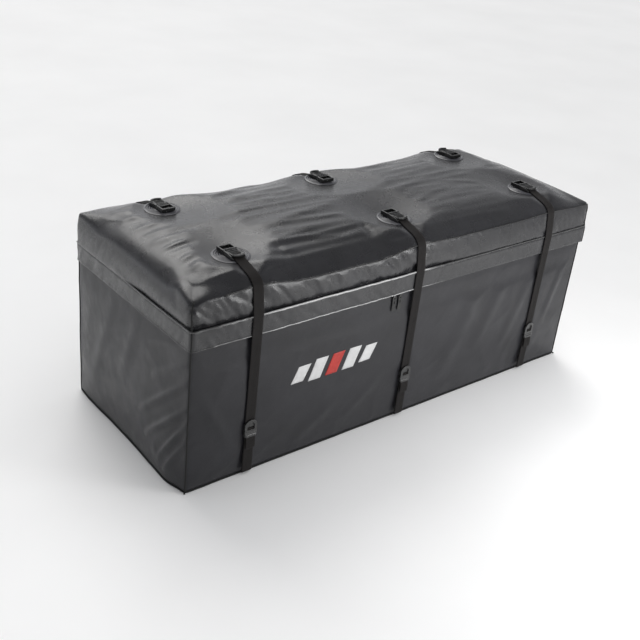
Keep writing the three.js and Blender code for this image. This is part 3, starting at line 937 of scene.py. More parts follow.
def way_round(end, front, back, radius, step, closed=False):
    """Points and outward directions of a line round the ends and front, or all round if closed."""
    corners = [(-end, -front, -math.pi), (end, -front, -math.pi / 2)]
    if closed:
        corners += [(end, back, 0), (-end, back, math.pi / 2)]
    spots, outward = [], []

    def add(x, y, angle):
        spots.append((x, y))
        outward.append((math.cos(angle), math.sin(angle)))

    if not closed:
        for y in np.arange(back, -front + radius + step / 2, -step):
            add(-end, y, math.pi)
    for number, (x, y, angle) in enumerate(corners):
        centre = (x - math.copysign(radius, x), y - math.copysign(radius, y))
        for turn in np.linspace(0, math.pi / 2, 7):
            bearing = angle + turn
            add(centre[0] + radius * math.cos(bearing), centre[1] + radius * math.sin(bearing), bearing)
        if number + 1 < len(corners) or closed:
            following = corners[(number + 1) % len(corners)]
            start = np.array(spots[-1])
            heading = np.array([-math.sin(angle + math.pi / 2), math.cos(angle + math.pi / 2)])
            span = abs((np.array(following[:2]) - start) @ heading) - radius
            for run in np.arange(step, span - step / 2, step):
                add(*(start + run * heading), angle + math.pi / 2)
    if not closed:
        for y in np.arange(-front + radius + step, back + step / 2, step):
            add(end, y, 0)
    return np.array(spots), np.array(outward)


def strip(name, spots, outward, rows, thickness, materials, swell=None):
    """A sheet that follows a line round the bag: rows are (height, outward offset)."""
    points = []
    for height, offset in rows:
        for (x, y), (nx, ny) in zip(spots, outward):
            out = offset + (swell(x, y, height) if swell else 0)
            points.append((x + nx * out, y + ny * out, height))
    piece = new_piece(name, points, quads(len(rows), len(spots), ring=False), materials)
    return thicken(piece, thickness, len(materials) - 1)


def tube(name, line, radius, material, body, closed=False, uneven=0.0):
    """A round cord along a line of points."""
    line = np.array(line)
    count, sides = len(line), 8
    if closed:
        ahead = np.roll(line, -1, axis=0) - np.roll(line, 1, axis=0)
    else:
        ahead = np.gradient(line, axis=0)
    ahead = unit(ahead)
    level = np.where(np.abs(ahead[:, 2:3]) > 0.8, [[1.0, 0, 0]], [[0, 0, 1.0]])
    across = unit(np.cross(ahead, level))
    upright = np.cross(across, ahead)
    turns = np.arange(sides) * math.tau / sides
    thick = radius * (1 + uneven * noise_field(line, (30, 30, 30), 6))
    ring = np.cos(turns)[None, :, None] * across[:, None] + np.sin(turns)[None, :, None] * upright[:, None]
    points = (line[:, None] + thick[:, None, None] * ring).reshape(-1, 3)
    faces = quads(count, sides, closed=closed, turned=True)
    if not closed:
        faces.append(tuple(range(sides))[::-1])
        faces.append(tuple(range((count - 1) * sides, count * sides)))
    return dress(new_piece(name, points, faces, [material]), body, "binding_tape")


FLAP_PLANE = FLAP_OUT - 1.4 * MM
FLAP_END_PLANE = END + 3.4 * MM


def flap_swell(x, y, height):
    """The rain flap's own waves, kept inwards under the straps."""
    spot = np.array([[x, y, height]])
    loose = smooth_step(SEAM - height, 0, 14 * MM)
    on_end = abs(x) > END
    wave = pleat_height(spot)[0] * (0.4 + 0.2 * loose) * (0.4 if on_end else 1)
    slow = 1.2 * noise_field(spot, (7, 7, 0), 31)[0] * loose
    free = smooth_step(from_straps(x), STRAP_WIDE / 2, STRAP_WIDE / 2 + 30 * MM) if y < 0 else 1
    tuck = 1.6 * smooth_step(y, BACK - 18 * MM, BACK - 3 * MM) if on_end else 0
    return MM * (max(-0.3, (wave + slow + 1.2) * free) - tuck)


def make_flap():
    """Rain flap over the zip, sewn in under a welt, with a rolled hem."""
    spots, outward = way_round(FLAP_END_PLANE, FLAP_PLANE, BACK - 1 * MM, 9 * MM, 5 * MM)
    rows = [(SEAM + 1.5 * MM, -4.5 * MM), (SEAM - 0.6 * MM, -1.2 * MM), (SEAM - 3 * MM, 0)]
    rows += [(SEAM - drop * MM, 0) for drop in range(8, 41, 5)]
    rows += [(HEM + 1.2 * MM, 0), (HEM + 0.2 * MM, -0.4 * MM)]
    flap = strip("rain_flap", spots, outward, rows, FLAP_THICK, [LID_CLOTH, LINING], swell=flap_swell)
    flaps = [f"{side}_rain_flap" for side in ("front", "left", "right")]
    dress(subdivide(flap), "lid", "lid_fabric", *flaps)
    trims = []
    edges = (
        ("flap_welt", SEAM + 0.6 * MM, 0.3 * MM, 1.9 * MM),
        ("flap_hem_cord", HEM + 1.1 * MM, 0.1 * MM, 1.1 * MM),
    )
    for name, height, proud, radius in edges:
        line = []
        for (x, y), (nx, ny) in zip(spots, outward):
            hidden = 1.6 * MM * float(ledge_share(np.array([[x, y, height]]))[0])
            out = proud - hidden + 0.8 * flap_swell(x, y, min(height, SEAM - 1 * MM))
            line.append((x + nx * out, y + ny * out, height + 0.4 * MM * math.sin(21 * (x + y))))
        trims.append(tube(name, line, radius, WELT, "lid", uneven=0.25))
    return flap, trims, spots, outward


def make_tapes():
    """The zip: a tape below and above its line, each with a row of teeth."""
    spots, outward = way_round(TAPE_END, TAPE_FRONT, BACK - 4 * MM, 8 * MM, 6 * MM)
    tooth_spots, tooth_outward = way_round(TAPE_END, TAPE_FRONT, BACK - 6 * MM, 8 * MM, 3 * MM)
    for name, body_name, near, far in (
        ("lower_tape", "bag", ZIP - 0.5 * MM, WALL_TOP - 9 * MM),
        ("upper_tape", "lid", ZIP + 0.5 * MM, BAND_BOTTOM + 9 * MM),
    ):
        heights = np.linspace(max(near, far), min(near, far), 5)
        rows = [(height, -0.1 * MM) for height in heights]
        tape = strip(name, spots, outward, rows, TAPE_THICK * 0.8, [BINDING, BINDING])
        dress(tape, body_name, "binding_tape", name.replace("_", "_zip_"))
        away = 1 if near > ZIP else -1
        points, faces = [], []
        for number in range(1, len(tooth_spots) - 1):
            spot, out = tooth_spots[number], tooth_outward[number]
            along = np.array([-out[1], out[0]])
            add_tooth(points, faces, spot, out, along, ZIP + away * 0.35 * MM, away)
        teeth = new_piece(name.replace("tape", "teeth"), points, faces, [ZIP_BLACK], smooth=False)
        dress(teeth, body_name, "zip_metal")


def add_tooth(points, faces, spot, out, along, foot, away):
    """One zip tooth: a small block that narrows towards the zip line."""
    base = len(points)
    for rise, wide, deep in ((0.0, 0.55 * MM, 0.75 * MM), (2.4 * MM, 0.8 * MM, 0.95 * MM)):
        for a, b in ((-1, -1), (1, -1), (1, 1), (-1, 1)):
            x, y = spot + a * wide * along + b * deep * out
            points.append((x, y, foot + away * rise))
    ends = [tuple(range(base, base + 4))[::-1], tuple(range(base + 4, base + 8))]
    around = ends + quads(2, 4, turned=True, start=base)
    faces += around if away > 0 else [face[::-1] for face in around]


def make_hinge():
    """Fabric hinge inside the back edge."""
    xs = np.linspace(-END + 3 * MM, END - 3 * MM, 60)
    heights = np.linspace(BAND_BOTTOM + 7 * MM, WALL_TOP - 7 * MM, 19)
    points = [(x, BACK - 1.9 * MM, height) for height in heights for x in xs]
    faces = quads(len(heights), len(xs), ring=False, turned=True)
    hinge = thicken(new_piece("hinge_fabric", points, faces, [LINING, LINING]), 0.7 * MM, 0)
    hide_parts("hinge_strip")
    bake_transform(hinge)


def surface_point(tree, start, heading, proud):
    """Where a ray meets the fabric, moved back by a little."""
    heading = Vector(heading).normalized()
    hit = tree.ray_cast(Vector(start), heading, 0.4)[0]
    return hit - heading * proud


def seam_up_corner(tree, away, corner, heights, proud):
    """Points up the fabric at a corner, found by rays from outside it."""
    outside = Vector((*corner, 0)) + away * 50 * MM
    return [surface_point(tree, outside + Vector((0, 0, height)), -away, proud) for height in heights]


def make_lid_seam(front_seam, tree):
    """Welt where the lid's roll is sewn to its front band, short of the front left corner."""
    line = blunted(front_seam, 2)
    for number, spot in enumerate(line):
        hit, normal, _, _ = tree.find_nearest(Vector(spot))
        line[number] = hit + normal * 0.4 * MM
    press_under(line, FRONT_ROUTE, -1, clear=1.3 * MM, reach=14 * MM, slope=1.0)
    tube("lid_seam_welt", line, 1.4 * MM, PIPING, "lid")


def make_lid_corners(tree):
    """Dark bound seams up the lid's two front corners, from the rain flap's hem to the roll."""
    round_by = 9 * MM * (1 - math.sqrt(0.5))
    for side, sign in (("left", -1), ("right", 1)):
        away = Vector((sign, -1, 0)).normalized()
        flap_corner = Vector((sign * (FLAP_END_PLANE - round_by), round_by - FLAP_PLANE, 0))
        line = [flap_corner + away * 1.6 * MM + Vector((0, 0, z)) for z in np.linspace(HEM, SEAM, 9)]
        heights = np.linspace(SEAM + 6 * MM, LID_EDGE - 4 * MM, 18)
        line += seam_up_corner(tree, away, (sign * END, FRONT), heights, 0.7 * MM)
        tube(f"lid_corner_binding_{side}", blunted(line, 2), 1.9 * MM, BINDING, "lid", uneven=0.1)


def make_bindings(tree):
    """Bound seams up the four corners and round the bottom edge."""
    for side, x in (("left", -END), ("right", END)):
        for row, y in (("front", FRONT), ("back", BACK)):
            away = Vector((math.copysign(1, x), math.copysign(1, y), 0)).normalized()
            heights = np.linspace(7 * MM, WALL_TOP - 1 * MM, 60)
            line = blunted(seam_up_corner(tree, away, (x, y), heights, 0.6 * MM), 2)
            foot = Vector(line[0])
            tail = [Vector((foot.x, foot.y, 2.2 * MM))]
            if row == "front":
                tail = [foot + away * 5.5 * MM, foot + away * 2.5 * MM, foot + away * 0.6 * MM]
                for number, spot in enumerate(tail):
                    spot.z = (1.8 + 1.2 * number) * MM
            tube(f"corner_binding_{row}_{side}", [*tail, *line], BINDING_RADIUS, BINDING, "bag", uneven=0.1)
    spots, outward = way_round(END, -FRONT, BACK, 8 * MM, 8 * MM, closed=True)
    line = []
    for (x, y), (nx, ny) in zip(spots, outward):
        start = Vector((x + nx * 0.05, y + ny * 0.05, 5 * MM))
        hit = surface_point(tree, start, (-nx, -ny, 0), 0.3 * MM)
        line.append((hit.x, hit.y, 2.3 * MM))
    tube("bottom_binding", line, BINDING_RADIUS, BINDING, "bag", closed=True, uneven=0.1)


# ---------------------------------------------------------------- webbing

def webbing(name, route, x, side, blunt=3, width=STRAP_WIDE, step=4 * MM, sway=0.0):
    """A woven strap along a route of (outwards, height), with ribs, rounded edges and UVs."""
    line = rounded_line(route, step, blunt)
    count = len(line)
    outward = faces_out(line)
    run = run_along(line)
    across = np.linspace(-1, 1, 25)
    deep, ribs = 0.13 * MM, 12
    rib = deep * np.cos(across * ribs * math.pi)
    edge = np.sqrt(np.clip(1 - np.abs(across) ** 14, 0.12, 1))
    half = STRAP_THICK / 2 - deep
    section = [(a, half * e + r) for a, e, r in zip(across, edge, rib)]
    section += [(a, -half * e - r) for a, e, r in zip(across[::-1], edge[::-1], rib[::-1])]
    points, uvs = [], []
    for number in range(count):
        drift = sway * math.sin(run[number] * 9.0)
        for a, thick in section:
            spot = line[number] + outward[number] * thick
            points.append((x + drift + a * width / 2, side * spot[0], spot[1]))
            uvs.append((a * width / 2, run[number]))
    sides = len(section)
    first = tuple(range(sides))
    last = tuple(range((count - 1) * sides, count * sides))[::-1]
    piece = new_piece(name, points, [*quads(count, sides), first, last], [WEBBING])
    layer = piece.data.uv_layers.new(name="webbing")
    for loop in piece.data.loops:
        layer.data[loop.index].uv = uvs[loop.vertex_index]
    make_normals_point_out(piece)
    return piece


def make_normals_point_out(piece):
    shape = bmesh.new()
    shape.from_mesh(piece.data)
    bmesh.ops.recalc_face_normals(shape, faces=shape.faces)
    shape.to_mesh(piece.data)
    shape.free()


def make_straps():
    for place, x in STRAP_X.items():
        strap = webbing(f"front_strap_{place}", FRONT_ROUTE, x, -1, sway=0.8 * MM)
        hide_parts(f"front_strap_upper_{place}", f"front_strap_drop_{place}")
        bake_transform(strap)
        make_strap_end("front", place, x, -1, f"front_strap_{place}", f"front_strap_loop_{place}")
        back = webbing(f"back_strap_{place}", BACK_ROUTE, x, 1)
        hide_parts(f"back_strap_upper_{place}")
        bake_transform(back)
        make_strap_end("back", place, x, 1, "bag", f"back_strap_lower_{place}")


def make_strap_end(row, place, x, side, body, node):
    """A strap below its adjuster: the fold at the floor, and the loose end that hangs outside."""
    foot = webbing(f"{row}_strap_foot_{place}", fold_route(), x, side, blunt=1, step=2 * MM)
    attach(foot, body)
    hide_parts(node)
    out = STRAP_PLANE + 2.6 * MM
    route = [
        (STRAP_PLANE + 1.9 * MM, ADJUSTER_MIDDLE + 1 * MM),
        (out, ADJUSTER_MIDDLE - 8 * MM),
        (out + 2.2 * MM, ADJUSTER_LOW + 4 * MM),
        (out + 3.4 * MM, ADJUSTER_LOW - 8 * MM),
        (out + 2.8 * MM, ADJUSTER_LOW - 20 * MM),
    ]
    narrow = STRAP_WIDE - 1 * MM
    tail = webbing(f"{row}_tail_{place}", route, x, side, blunt=4, width=narrow, step=2 * MM)
    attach(tail, body)


# ---------------------------------------------------------------- moulded hardware

def block(shape, lowest, highest, bevel):
    """Adds a block with rounded edges to a bmesh, in millimetres."""
    lowest, highest = np.array(lowest, float), np.array(highest, float)
    size, centre = highest - lowest, (highest + lowest) / 2
    place = Matrix.Translation(centre) @ Matrix.Diagonal((*size, 1))
    made = bmesh.ops.create_cube(shape, size=1, matrix=place)
    edges = list({edge for vertex in made["verts"] for edge in vertex.link_edges})
    bmesh.ops.bevel(shape, geom=edges, offset=bevel, segments=3, affect="EDGES", profile=0.5)


def bar(shape, start, end, radius):
    """Adds a round bar to a bmesh, in millimetres."""
    start, end = Vector(start), Vector(end)
    turn = (end - start).to_track_quat("Z", "Y").to_matrix().to_4x4()
    place = Matrix.Translation((start + end) / 2) @ turn
    sizes = {"radius1": radius, "radius2": radius, "depth": (end - start).length}
    bmesh.ops.create_cone(shape, cap_ends=True, segments=24, matrix=place, **sizes)


def plate(axis, shape, outline, lowest, highest):
    """Adds a plate with an outline in the two other axes, from lowest to highest on this one."""
    near, far = [
        [shape.verts.new(np.insert(np.array(spot, float), axis, depth)) for spot in outline]
        for depth in (lowest, highest)
    ]
    if axis == 2:
        near, far = far, near
    shape.faces.new(near)
    shape.faces.new(far[::-1])
    for p in range(len(outline)):
        q = (p + 1) % len(outline)
        shape.faces.new((near[q], near[p], far[p], far[q]))


side_profile, front_profile, top_profile = (partial(plate, axis) for axis in range(3))


def filled(name, build):
    """An object whose mesh is put together by a function."""
    shape = bmesh.new()
    build(shape)
    mesh = bpy.data.meshes.new(name)
    shape.to_mesh(mesh)
    shape.free()
    return place_mesh(name, mesh)


def mould(name, build, material, voxel=0.55, cut=None, keep=0.35):
    """Turns joined blocks into one smooth moulding, and returns its mesh in metres."""
    used = [filled(name, build)]
    modify(used[0], "REMESH", mode="VOXEL", voxel_size=voxel)
    if cut:
        used.append(filled(name + "_cutter", cut))
        modify(used[0], "BOOLEAN", operation="DIFFERENCE", object=used[1], solver="MANIFOLD")
        modify(used[0], "REMESH", mode="VOXEL", voxel_size=voxel)
    modify(used[0], "SMOOTH", factor=0.5, iterations=3)
    modify(used[0], "DECIMATE", ratio=keep)
    made = bpy.data.meshes.new_from_object(shown_form(used[0]))
    made.transform(Matrix.Scale(MM, 4))
    made.materials.clear()
    made.materials.append(material)
    made.shade_smooth()
    for done in used:
        bpy.data.objects.remove(done)
    return made


def place_moulding(mesh, name, matrix, body, slot, *nodes):
    copy = mesh.copy()
    copy.name = name
    copy.transform(matrix)
    dress(place_mesh(name, copy), body, slot, *nodes)


def both_sides(shape, outline, inner, outer):
    """Adds the same (y, z) plate on the right and on the left."""
    side_profile(shape, outline, inner, outer)
    side_profile(shape, outline, -outer, -inner)


def rounded_outline(half_x, y_low, y_high, radius):
    """A rectangle's (x, y) outline with round corners."""
    corners = [(1, y_high - radius), (-1, y_high - radius), (-1, y_low + radius), (1, y_low + radius)]
    outline = []
    for number, (side, y) in enumerate(corners):
        for turn in np.linspace(0, 90, 6):
            angle = math.radians(90 * number + turn)
            x = side * (half_x - radius)
            outline.append((x + radius * math.cos(angle), y + radius * math.sin(angle)))
    return outline


def buckle_body(shape):
    """Lid buckle: a rimmed tray with a window at the back, a crossbar and open front rails."""
    half, wide = BUCKLE_HALF / MM, 17
    top_profile(shape, rounded_outline(wide, -half, half, 5), 0, 2.2)
    rail = [(-half, 0.4), (-half, 3.4), (5 - half, 6.2), (-10, 8.6), (8, 9.2), (half - 3, 9.2)]
    rail += [(half, 7.4), (half, 0.4)]
    both_sides(shape, rail, wide - 3.2, wide)
    block(shape, (-wide, half - 4.4, 0.4), (wide, half, 8.8), 1.0)
    block(shape, (-wide, 6.8, 4.9), (wide, 9.8, 8.6), 0.8)
    bar(shape, (0.4 - wide, 4.8, 7.7), (wide - 0.4, 4.8, 7.7), 2.3)
    for x in (-9, 9):
        block(shape, (x - 1.1, 11, 1.6), (x + 1.1, half - 6, 4.0), 0.5)


def lever_body(shape):
    """Clamping lever about its own pin: a plate with a recessed pad and a thumb lip."""
    tip, wide = LEVER_TIP / MM, 13.4
    bar(shape, (-wide, 0, 0), (wide, 0, 0), LEVER_PIN / MM)
    outline = [(wide, -2), (-wide, -2)]
    for turn in np.radians(range(0, 181, 15)):
        outline.append((-wide * math.cos(turn), 7 - tip - 7 * math.sin(turn)))
    top_profile(shape, outline, -1.6, 0.5)
    rail = [(0, -1.2), (0, 1.5), (-6, 2.0), (9 - tip, 1.7), (5 - tip, 2.6), (4 - tip, -1.2)]
    both_sides(shape, rail, wide - 2.2, wide)
    block(shape, (0.4 - wide, -7.0, -0.6), (wide - 0.4, -4.5, 1.8), 0.6)
    for step in range(7):
        turn = math.radians(-66 + 22 * step)
        x, y = 11.4 * math.sin(turn), 6.8 - tip - 5.4 * math.cos(turn)
        block(shape, (x - 2.9, y - 1.5, -0.8), (x + 2.9, y + 1.9, 3.8), 1.0)


def lever_pad_body(shape):
    """Ribbed grip pad in the lever's recess."""
    far = 10.5 - LEVER_TIP / MM
    top_profile(shape, rounded_outline(10.6, far, -7.6, 2), 0.3, 1.0)
    for y in np.arange(far + 1.8, -8, 2.6):
        block(shape, (-9.4, y - 0.6, 0.6), (9.4, y + 0.6, 1.7), 0.35)


def arch(half_x, z_low, z_high, crown):
    """An (x, z) outline with a square foot and an arched head."""
    turns = np.linspace(0, math.pi, 12)[1:-1]
    head = [(half_x * math.cos(turn), z_high - crown + crown * math.sin(turn)) for turn in turns]
    right = [(half_x, z_low), (half_x, z_high - crown)]
    return [*right, *head, (-half_x, z_high - crown), (-half_x, z_low)]


def adjuster_body(shape):
    """Strap adjuster about its own middle: an arched ladder frame. +Y is outwards here."""
    wide = 15.6
    front_profile(shape, arch(wide, -12, 21, 14), 0.9, 4.4)
    block(shape, (-wide, 0.9, -19), (wide, 5.2, -10), 1.4)
    block(shape, (2.1 - wide, 3.2, -21.5), (wide - 2.1, 6.4, -15), 1.5)
    for inner, outer in ((-wide, 2.2 - wide), (wide - 2.2, wide)):
        block(shape, (inner, -2.9, -17), (outer, 3.2, 12), 0.7)
    block(shape, (0.4 - wide, -2.9, -4.5), (wide - 0.4, -1.3, 4.5), 0.6)


def adjuster_openings(shape):
    front_profile(shape, arch(9.0, -4, 14.5, 8.5), -1.2, 9)
    block(shape, (-13.2, -1.25, -40), (13.2, 1.25, 40), 0.2)


def slider_body(shape):
    """Zip slider about the tape's middle and the zip line: two shields, a bridge, a neck."""
    right = [(6, -8), (8, -5.5), (6.6, 4.5), (3.5, 8)]
    shield = right + [(-x, z) for x, z in right[::-1]]
    for y_low, y_high in ((-3.1, -1.15), (1.15, 3.1)):
        front_profile(shape, shield, y_low, y_high)
    block(shape, (-3, -2.6, -0.25), (3, 2.6, 0.25), 0.08)
    block(shape, (-2.5, -6.3, -7.6), (2.5, -2.4, -2.6), 0.7)
    block(shape, (-2.4, -6.3, -27.6), (2.4, -4.4, -3.5), 0.7)


def pull_body(shape):
    """Zip pull about its pivot: a rubber tab with a waist, grip ribs and a fork."""
    right = [(4.2, -34.6), (5.9, -31), (5.1, -16), (6, -3), (6, 1.2), (4.8, 2.4)]
    outline = right + [(-x, z) for x, z in right[::-1]]
    front_profile(shape, outline, -1.05, 1.05)
    for z in (-30.2, -27.4, -24.6):
        block(shape, (-4.6, -1.3, z - 0.7), (4.6, 1.3, z + 0.7), 0.35)


def pull_openings(shape):
    block(shape, (-3.0, -3, -4.2), (3.0, 3, 6), 0.2)
    front_profile(shape, rounded_outline(1.1, -16.5, -9.5, 1.0), -3, 3)


def make_lid_hardware():
    buckle = mould("buckle", buckle_body, BUCKLE)
    lever = mould("lever", lever_body, BUCKLE, voxel=0.45)
    pad = mould("pad", lever_pad_body, PULL, voxel=0.35)
    pin_out, pin_up = 2 * MM, 6.8 * MM
    for row, side in ROWS.items():
        half_turn = Matrix.Rotation(math.pi if side > 0 else 0, 4, "Z")
        for place, x in STRAP_X.items():
            station = Matrix.Translation((x, side * PATCH_Y, 0)) @ half_turn
            seat = station @ Matrix.Translation((0, 0, BUCKLE_Z))
            node = f"lid_buckle_{row}_{place}"
            place_moulding(buckle, f"buckle_{row}_{place}", seat, "lid", "buckle_plastic", node)
            pin = seat @ Matrix.Translation((0, -pin_out, pin_up))
            body_name = f"lever_{row}_{place}"
            node = f"buckle_lever_{row}_{place}"
            place_moulding(lever, f"lever_plate_{row}_{place}", pin, body_name, "buckle_plastic", node)
            place_moulding(pad, f"lever_grip_{row}_{place}", pin, body_name, "buckle_plastic")
            make_patch(row, place, station)


def make_patch(row, place, station):
    """Round moulded patch: a domed boss, then concentric ridges out to a thin welded rim."""
    rim = PATCH_R / MM
    rings = [(rim - 32, 2.0), (rim - 24, 1.9), (rim - 22, 1.7)]
    for radius in np.arange(rim - 20.9, rim - 2.6, 0.8):
        rings.append((radius, 1.3 + 0.95 * math.cos((radius - rim + 18.5) / 4.8 * math.tau)))
    rings += [(rim - 2.1, 0.9), (rim - 0.9, 0.8), (rim, 0.45), (rim, 0.05), (rim - 20, 0)]
    around = 96
    points = [(0, 0, 2.0), (0, 0, 0.0)]
    for radius, height in rings:
        for turn in np.arange(around) * math.tau / around:
            points.append((radius * math.cos(turn), radius * math.sin(turn), height))
    faces = quads(len(rings), around, start=2)
    last = 2 + (len(rings) - 1) * around
    for p in range(around):
        q = (p + 1) % around
        faces += [(0, 2 + p, 2 + q), (1, last + q, last + p)]
    patch = new_piece(f"ridged_patch_{row}_{place}", np.array(points) * MM, faces, [PATCH])
    patch.data.transform(station @ Matrix.Translation((0, 0, PATCH_Z)))
    dress(patch, "lid", "moulded_patch", f"patch_{row}_{place}")


def make_adjusters():
    adjuster = mould("adjuster", adjuster_body, BUCKLE, cut=adjuster_openings)
    for row, side in ROWS.items():
        half_turn = Matrix.Rotation(math.pi if side < 0 else 0, 4, "Z")
        for place, x in STRAP_X.items():
            station = Matrix.Translation((x, side * STRAP_PLANE, ADJUSTER_MIDDLE)) @ half_turn
            body_name = f"front_strap_{place}" if side < 0 else "bag"
            node = f"{row}_adjuster_{place}"
            place_moulding(adjuster, f"strap_lock_{row}_{place}", station, body_name, "buckle_plastic", node)


def make_zip_sliders():
    slider = mould("slider", slider_body, ZIP_BLACK, voxel=0.3, keep=0.3)
    pull = mould("pull", pull_body, PULL, voxel=0.35, cut=pull_openings)
    for side in ("left", "right"):
        x = middle(f"zip_slider_{side}")[0]
        seat = Matrix.Translation((x, -TAPE_FRONT, ZIP))
        place_moulding(slider, f"slider_{side}", seat, f"slider_{side}", "zip_metal", f"zip_slider_{side}")
        pivot = next(j for j in frame["joints"] if j["name"] == f"zip_pull_{side}_swing")["pos_m"]
        seat = Matrix.Translation(pivot)
        place_moulding(pull, f"pull_{side}", seat, f"pull_{side}", "pull_rubber", f"zip_pull_{side}")


# ---------------------------------------------------------------- print and stitching

def make_print(tree):
    """A plain printed device on the front: slanted bars, one of them red."""
    centre_x, centre_z, pitch = -218 * MM, 214 * MM, 48 * MM
    wide, tall, lean = 34 * MM, 62 * MM, 20 * MM
    columns, rows = 8, 12
    for number in range(5):
        left = centre_x + (number - 2.5) * pitch
        height = tall * (0.62 + 0.19 * (number % 2) + 0.19 * (number == 2))
        points = []
        for i in range(columns + 1):
            for j in range(rows + 1):
                up = j / rows - 0.5
                spot = (left + wide * i / columns + lean * up, FRONT - 60 * MM, centre_z + height * up)
                points.append(surface_point(tree, spot, (0, 1, 0), 0.35 * MM))
        faces = quads(columns + 1, rows + 1, ring=False)
        ink = PRINT_RED if number == 2 else PRINT_WHITE
        printed = new_piece(f"print_bar_{number + 1}", points, faces, [ink])
        dress(thicken(printed, 0.2 * MM, 0), "bag", "shell_fabric")


def stitch_row(name, line, outward):
    """Short raised stitches along a line on the lid."""
    pitch, length = 5.0 * MM, 3.2 * MM
    line, outward = np.array(line), np.array(outward)
    run = run_along(line)
    points, faces = [], []
    for place in np.arange(pitch, run[-1] - pitch, pitch):
        number = min(np.searchsorted(run, place), len(line) - 1)
        ahead = (line[number] - line[number - 1]) / (run[number] - run[number - 1])
        spot = line[number - 1] + (place - run[number - 1]) * ahead
        out = outward[number]
        across = np.cross(ahead, out)
        base = len(points)
        for step, thick in ((-0.5, 0.12), (-0.25, 0.32), (0.25, 0.32), (0.5, 0.12)):
            for a, b in ((1, 0), (0, 1), (-1, 0), (0, -1)):
                points.append(spot + step * length * ahead + MM * thick * (a * across + b * out))
        faces += quads(4, 4, start=base)
        faces += [tuple(range(base, base + 4)), tuple(range(base + 15, base + 11, -1))]
    return dress(new_piece(name, points, faces, [THREAD]), "lid", "binding_tape")


def make_stitching(spots, outward):
    """Stitch rows on the rain flap, above its hem and below its welt."""
    rows = []
    for name, height in (("hem_stitches", HEM + 6 * MM), ("welt_stitches", SEAM - 5 * MM)):
        line, normals = [], []
        for (x, y), (nx, ny) in zip(spots, outward):
            out = flap_swell(x, y, height) + 0.05 * MM
            line.append((x + nx * out, y + ny * out, height))
            normals.append((nx, ny, 0))
        rows.append(stitch_row(name, line, normals))
    return rows


# ---------------------------------------------------------------- stage, light, camera

def make_stage():
    pale, tree, shader = new_material("floor_paint", Roughness=0.6)
    spot = own_place(tree)
    feed(tree, shader, Base_Color=mottled(tree, spot, 2.0, grey(0.90), grey(0.94)))
    reach, below = 30, -0.4 * MM
    corners = [(-reach, -reach, below), (reach, -reach, below), (reach, reach, below)]
    corners.append((-reach, reach, below))
    new_piece("floor", corners, [(0, 1, 2, 3)], [pale], smooth=False)


def make_world():
    """A bright low surround, dimmer overhead and dimmest above the front."""
    world = bpy.data.worlds.new("studio")
    bpy.context.scene.world = world
    world.use_nodes = True
    tree = world.node_tree
    place = add_node(tree, "ShaderNodeTexCoord")
    parts = add_node(tree, "ShaderNodeSeparateXYZ", {0: place.outputs["Generated"]})
    across, depth, height = parts.outputs

    def eased(value, start, end):
        span = {0: value, 1: start, 2: end, 3: 0.0, 4: 1.0}
        return add_node(tree, "ShaderNodeMapRange", span, interpolation_type="SMOOTHSTEP").outputs[0]

    ceiling = calc(tree, "MULTIPLY", eased(height, 0.34, 0.68), 0.72)
    front = calc(tree, "MULTIPLY", eased(depth, 0.05, -0.55), eased(height, -0.04, 0.34))
    shade = calc(tree, "MAXIMUM", ceiling, calc(tree, "MULTIPLY", front, 0.84))
    right = calc(tree, "MULTIPLY", eased(across, 0.40, 0.85), 0.48)
    left = calc(tree, "MULTIPLY", eased(across, 0.15, -0.5), eased(height, -0.02, 0.25))
    shade = calc(tree, "MAXIMUM", shade, calc(tree, "MAXIMUM", right, calc(tree, "MULTIPLY", left, 0.7)))
    strength = calc(tree, "SUBTRACT", 1.0, shade)
    background = tree.nodes["Background"]
    background.inputs["Color"].default_value = (0.96, 0.97, 1.0, 1)
    tree.links.new(calc(tree, "MULTIPLY", strength, 0.9), background.inputs["Strength"])


def from_bearing(bearing, height):
    """The direction of a compass bearing and height, both in radians."""
    level = math.cos(height)
    return Vector((math.cos(bearing) * level, math.sin(bearing) * level, math.sin(height)))


def add_light(name, kind, aim, power, shade, **settings):
    """A light that shines along a direction."""
    lamp = bpy.data.lights.new(name, kind)
    lamp.energy = power
    lamp.color = shade
    for key, value in settings.items():
        setattr(lamp, key, value)
    holder = bpy.data.objects.new(name, lamp)
    holder.rotation_mode = "QUATERNION"
    holder.rotation_quaternion = aim.to_track_quat("-Z", "Y")
    bpy.context.scene.collection.objects.link(holder)
    return holder


def sun_light(name, bearing, height, strength, angle, shade=(1, 1, 1), glossy=True):
    """A wide, soft distant light from a compass bearing and height in degrees."""
    source = from_bearing(math.radians(bearing), math.radians(height))
    holder = add_light(name, "SUN", -source, strength, shade, angle=math.radians(angle))
    holder.visible_glossy = glossy


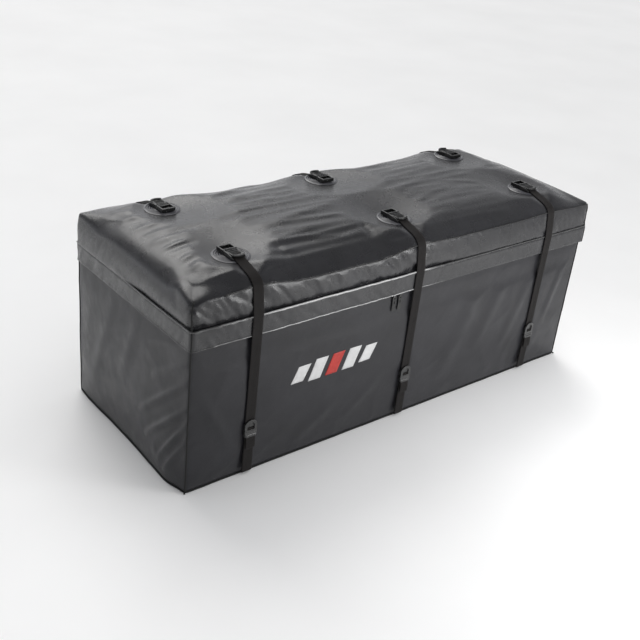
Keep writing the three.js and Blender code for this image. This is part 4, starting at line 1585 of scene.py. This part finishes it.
def area_light(name, place, target, size, power, shade=(1, 1, 1)):
    """A rectangular light that faces a target and stays out of the picture."""
    aim = Vector(target) - Vector(place)
    sizes = {"shape": "RECTANGLE", "size": size[0], "size_y": size[1]}
    holder = add_light(name, "AREA", aim, power, shade, **sizes)
    holder.location = place
    holder.visible_camera = False


def make_camera():
    """The viewpoint: left of the front, above the lid, with the picture rolled a little."""
    azimuth, elevation, roll = math.radians(-41.6), math.radians(27.9), math.radians(6.36)
    distance, lens, sensor = 2.478, 55.8, 36
    shift_right, shift_up = -61 * MM, -70 * MM
    target = Vector((0, 0, 228.6 * MM))
    back = from_bearing(azimuth - math.pi / 2, elevation)
    right = (-back).cross(Vector((0, 0, 1))).normalized()
    up = right.cross(-back)
    rolled_right = right * math.cos(roll) + up * math.sin(roll)
    rolled_up = up * math.cos(roll) - right * math.sin(roll)
    data = bpy.data.cameras.new("camera")
    data.sensor_width = sensor
    data.lens = lens
    camera = bpy.data.objects.new("camera", data)
    camera.rotation_mode = "QUATERNION"
    camera.location = target + back * distance + rolled_right * shift_right + rolled_up * shift_up
    axes = Matrix((rolled_right, rolled_up, back)).transposed()
    camera.rotation_quaternion = axes.to_quaternion()
    bpy.context.scene.collection.objects.link(camera)
    bpy.context.scene.camera = camera


make_camera()
make_stage()
make_world()
WARM, COOL = (1.0, 0.99, 0.97), (0.9, 0.93, 1.0)
sun_light("key", bearing=74, height=48, strength=1.25, angle=38, shade=WARM)
sun_light("overhead", bearing=-60, height=76, strength=1.1, angle=70, glossy=False)
area_light("fill", (0.5, -1.25, 0.6), target=(0.12, -0.24, 0.25), size=(0.5, 0.6), power=8)
area_light("left_fill", (-2.2, 1.2, 0.9), target=(-0.6, 0, 0.3), size=(1.4, 1.2), power=3, shade=COOL)
scene_view = bpy.context.scene.view_settings
scene_view.view_transform = "Standard"

lid_seam, lid_tree = make_lid()
body_tree = make_body()
flap, flap_trims, flap_spots, flap_outward = make_flap()
make_tapes()
make_hinge()
make_lid_seam(lid_seam, lid_tree)
make_lid_corners(lid_tree)
make_bindings(body_tree)
make_straps()
make_lid_hardware()
make_adjusters()
make_zip_sliders()
make_print(body_tree)
flap_trims += make_stitching(flap_spots, flap_outward)
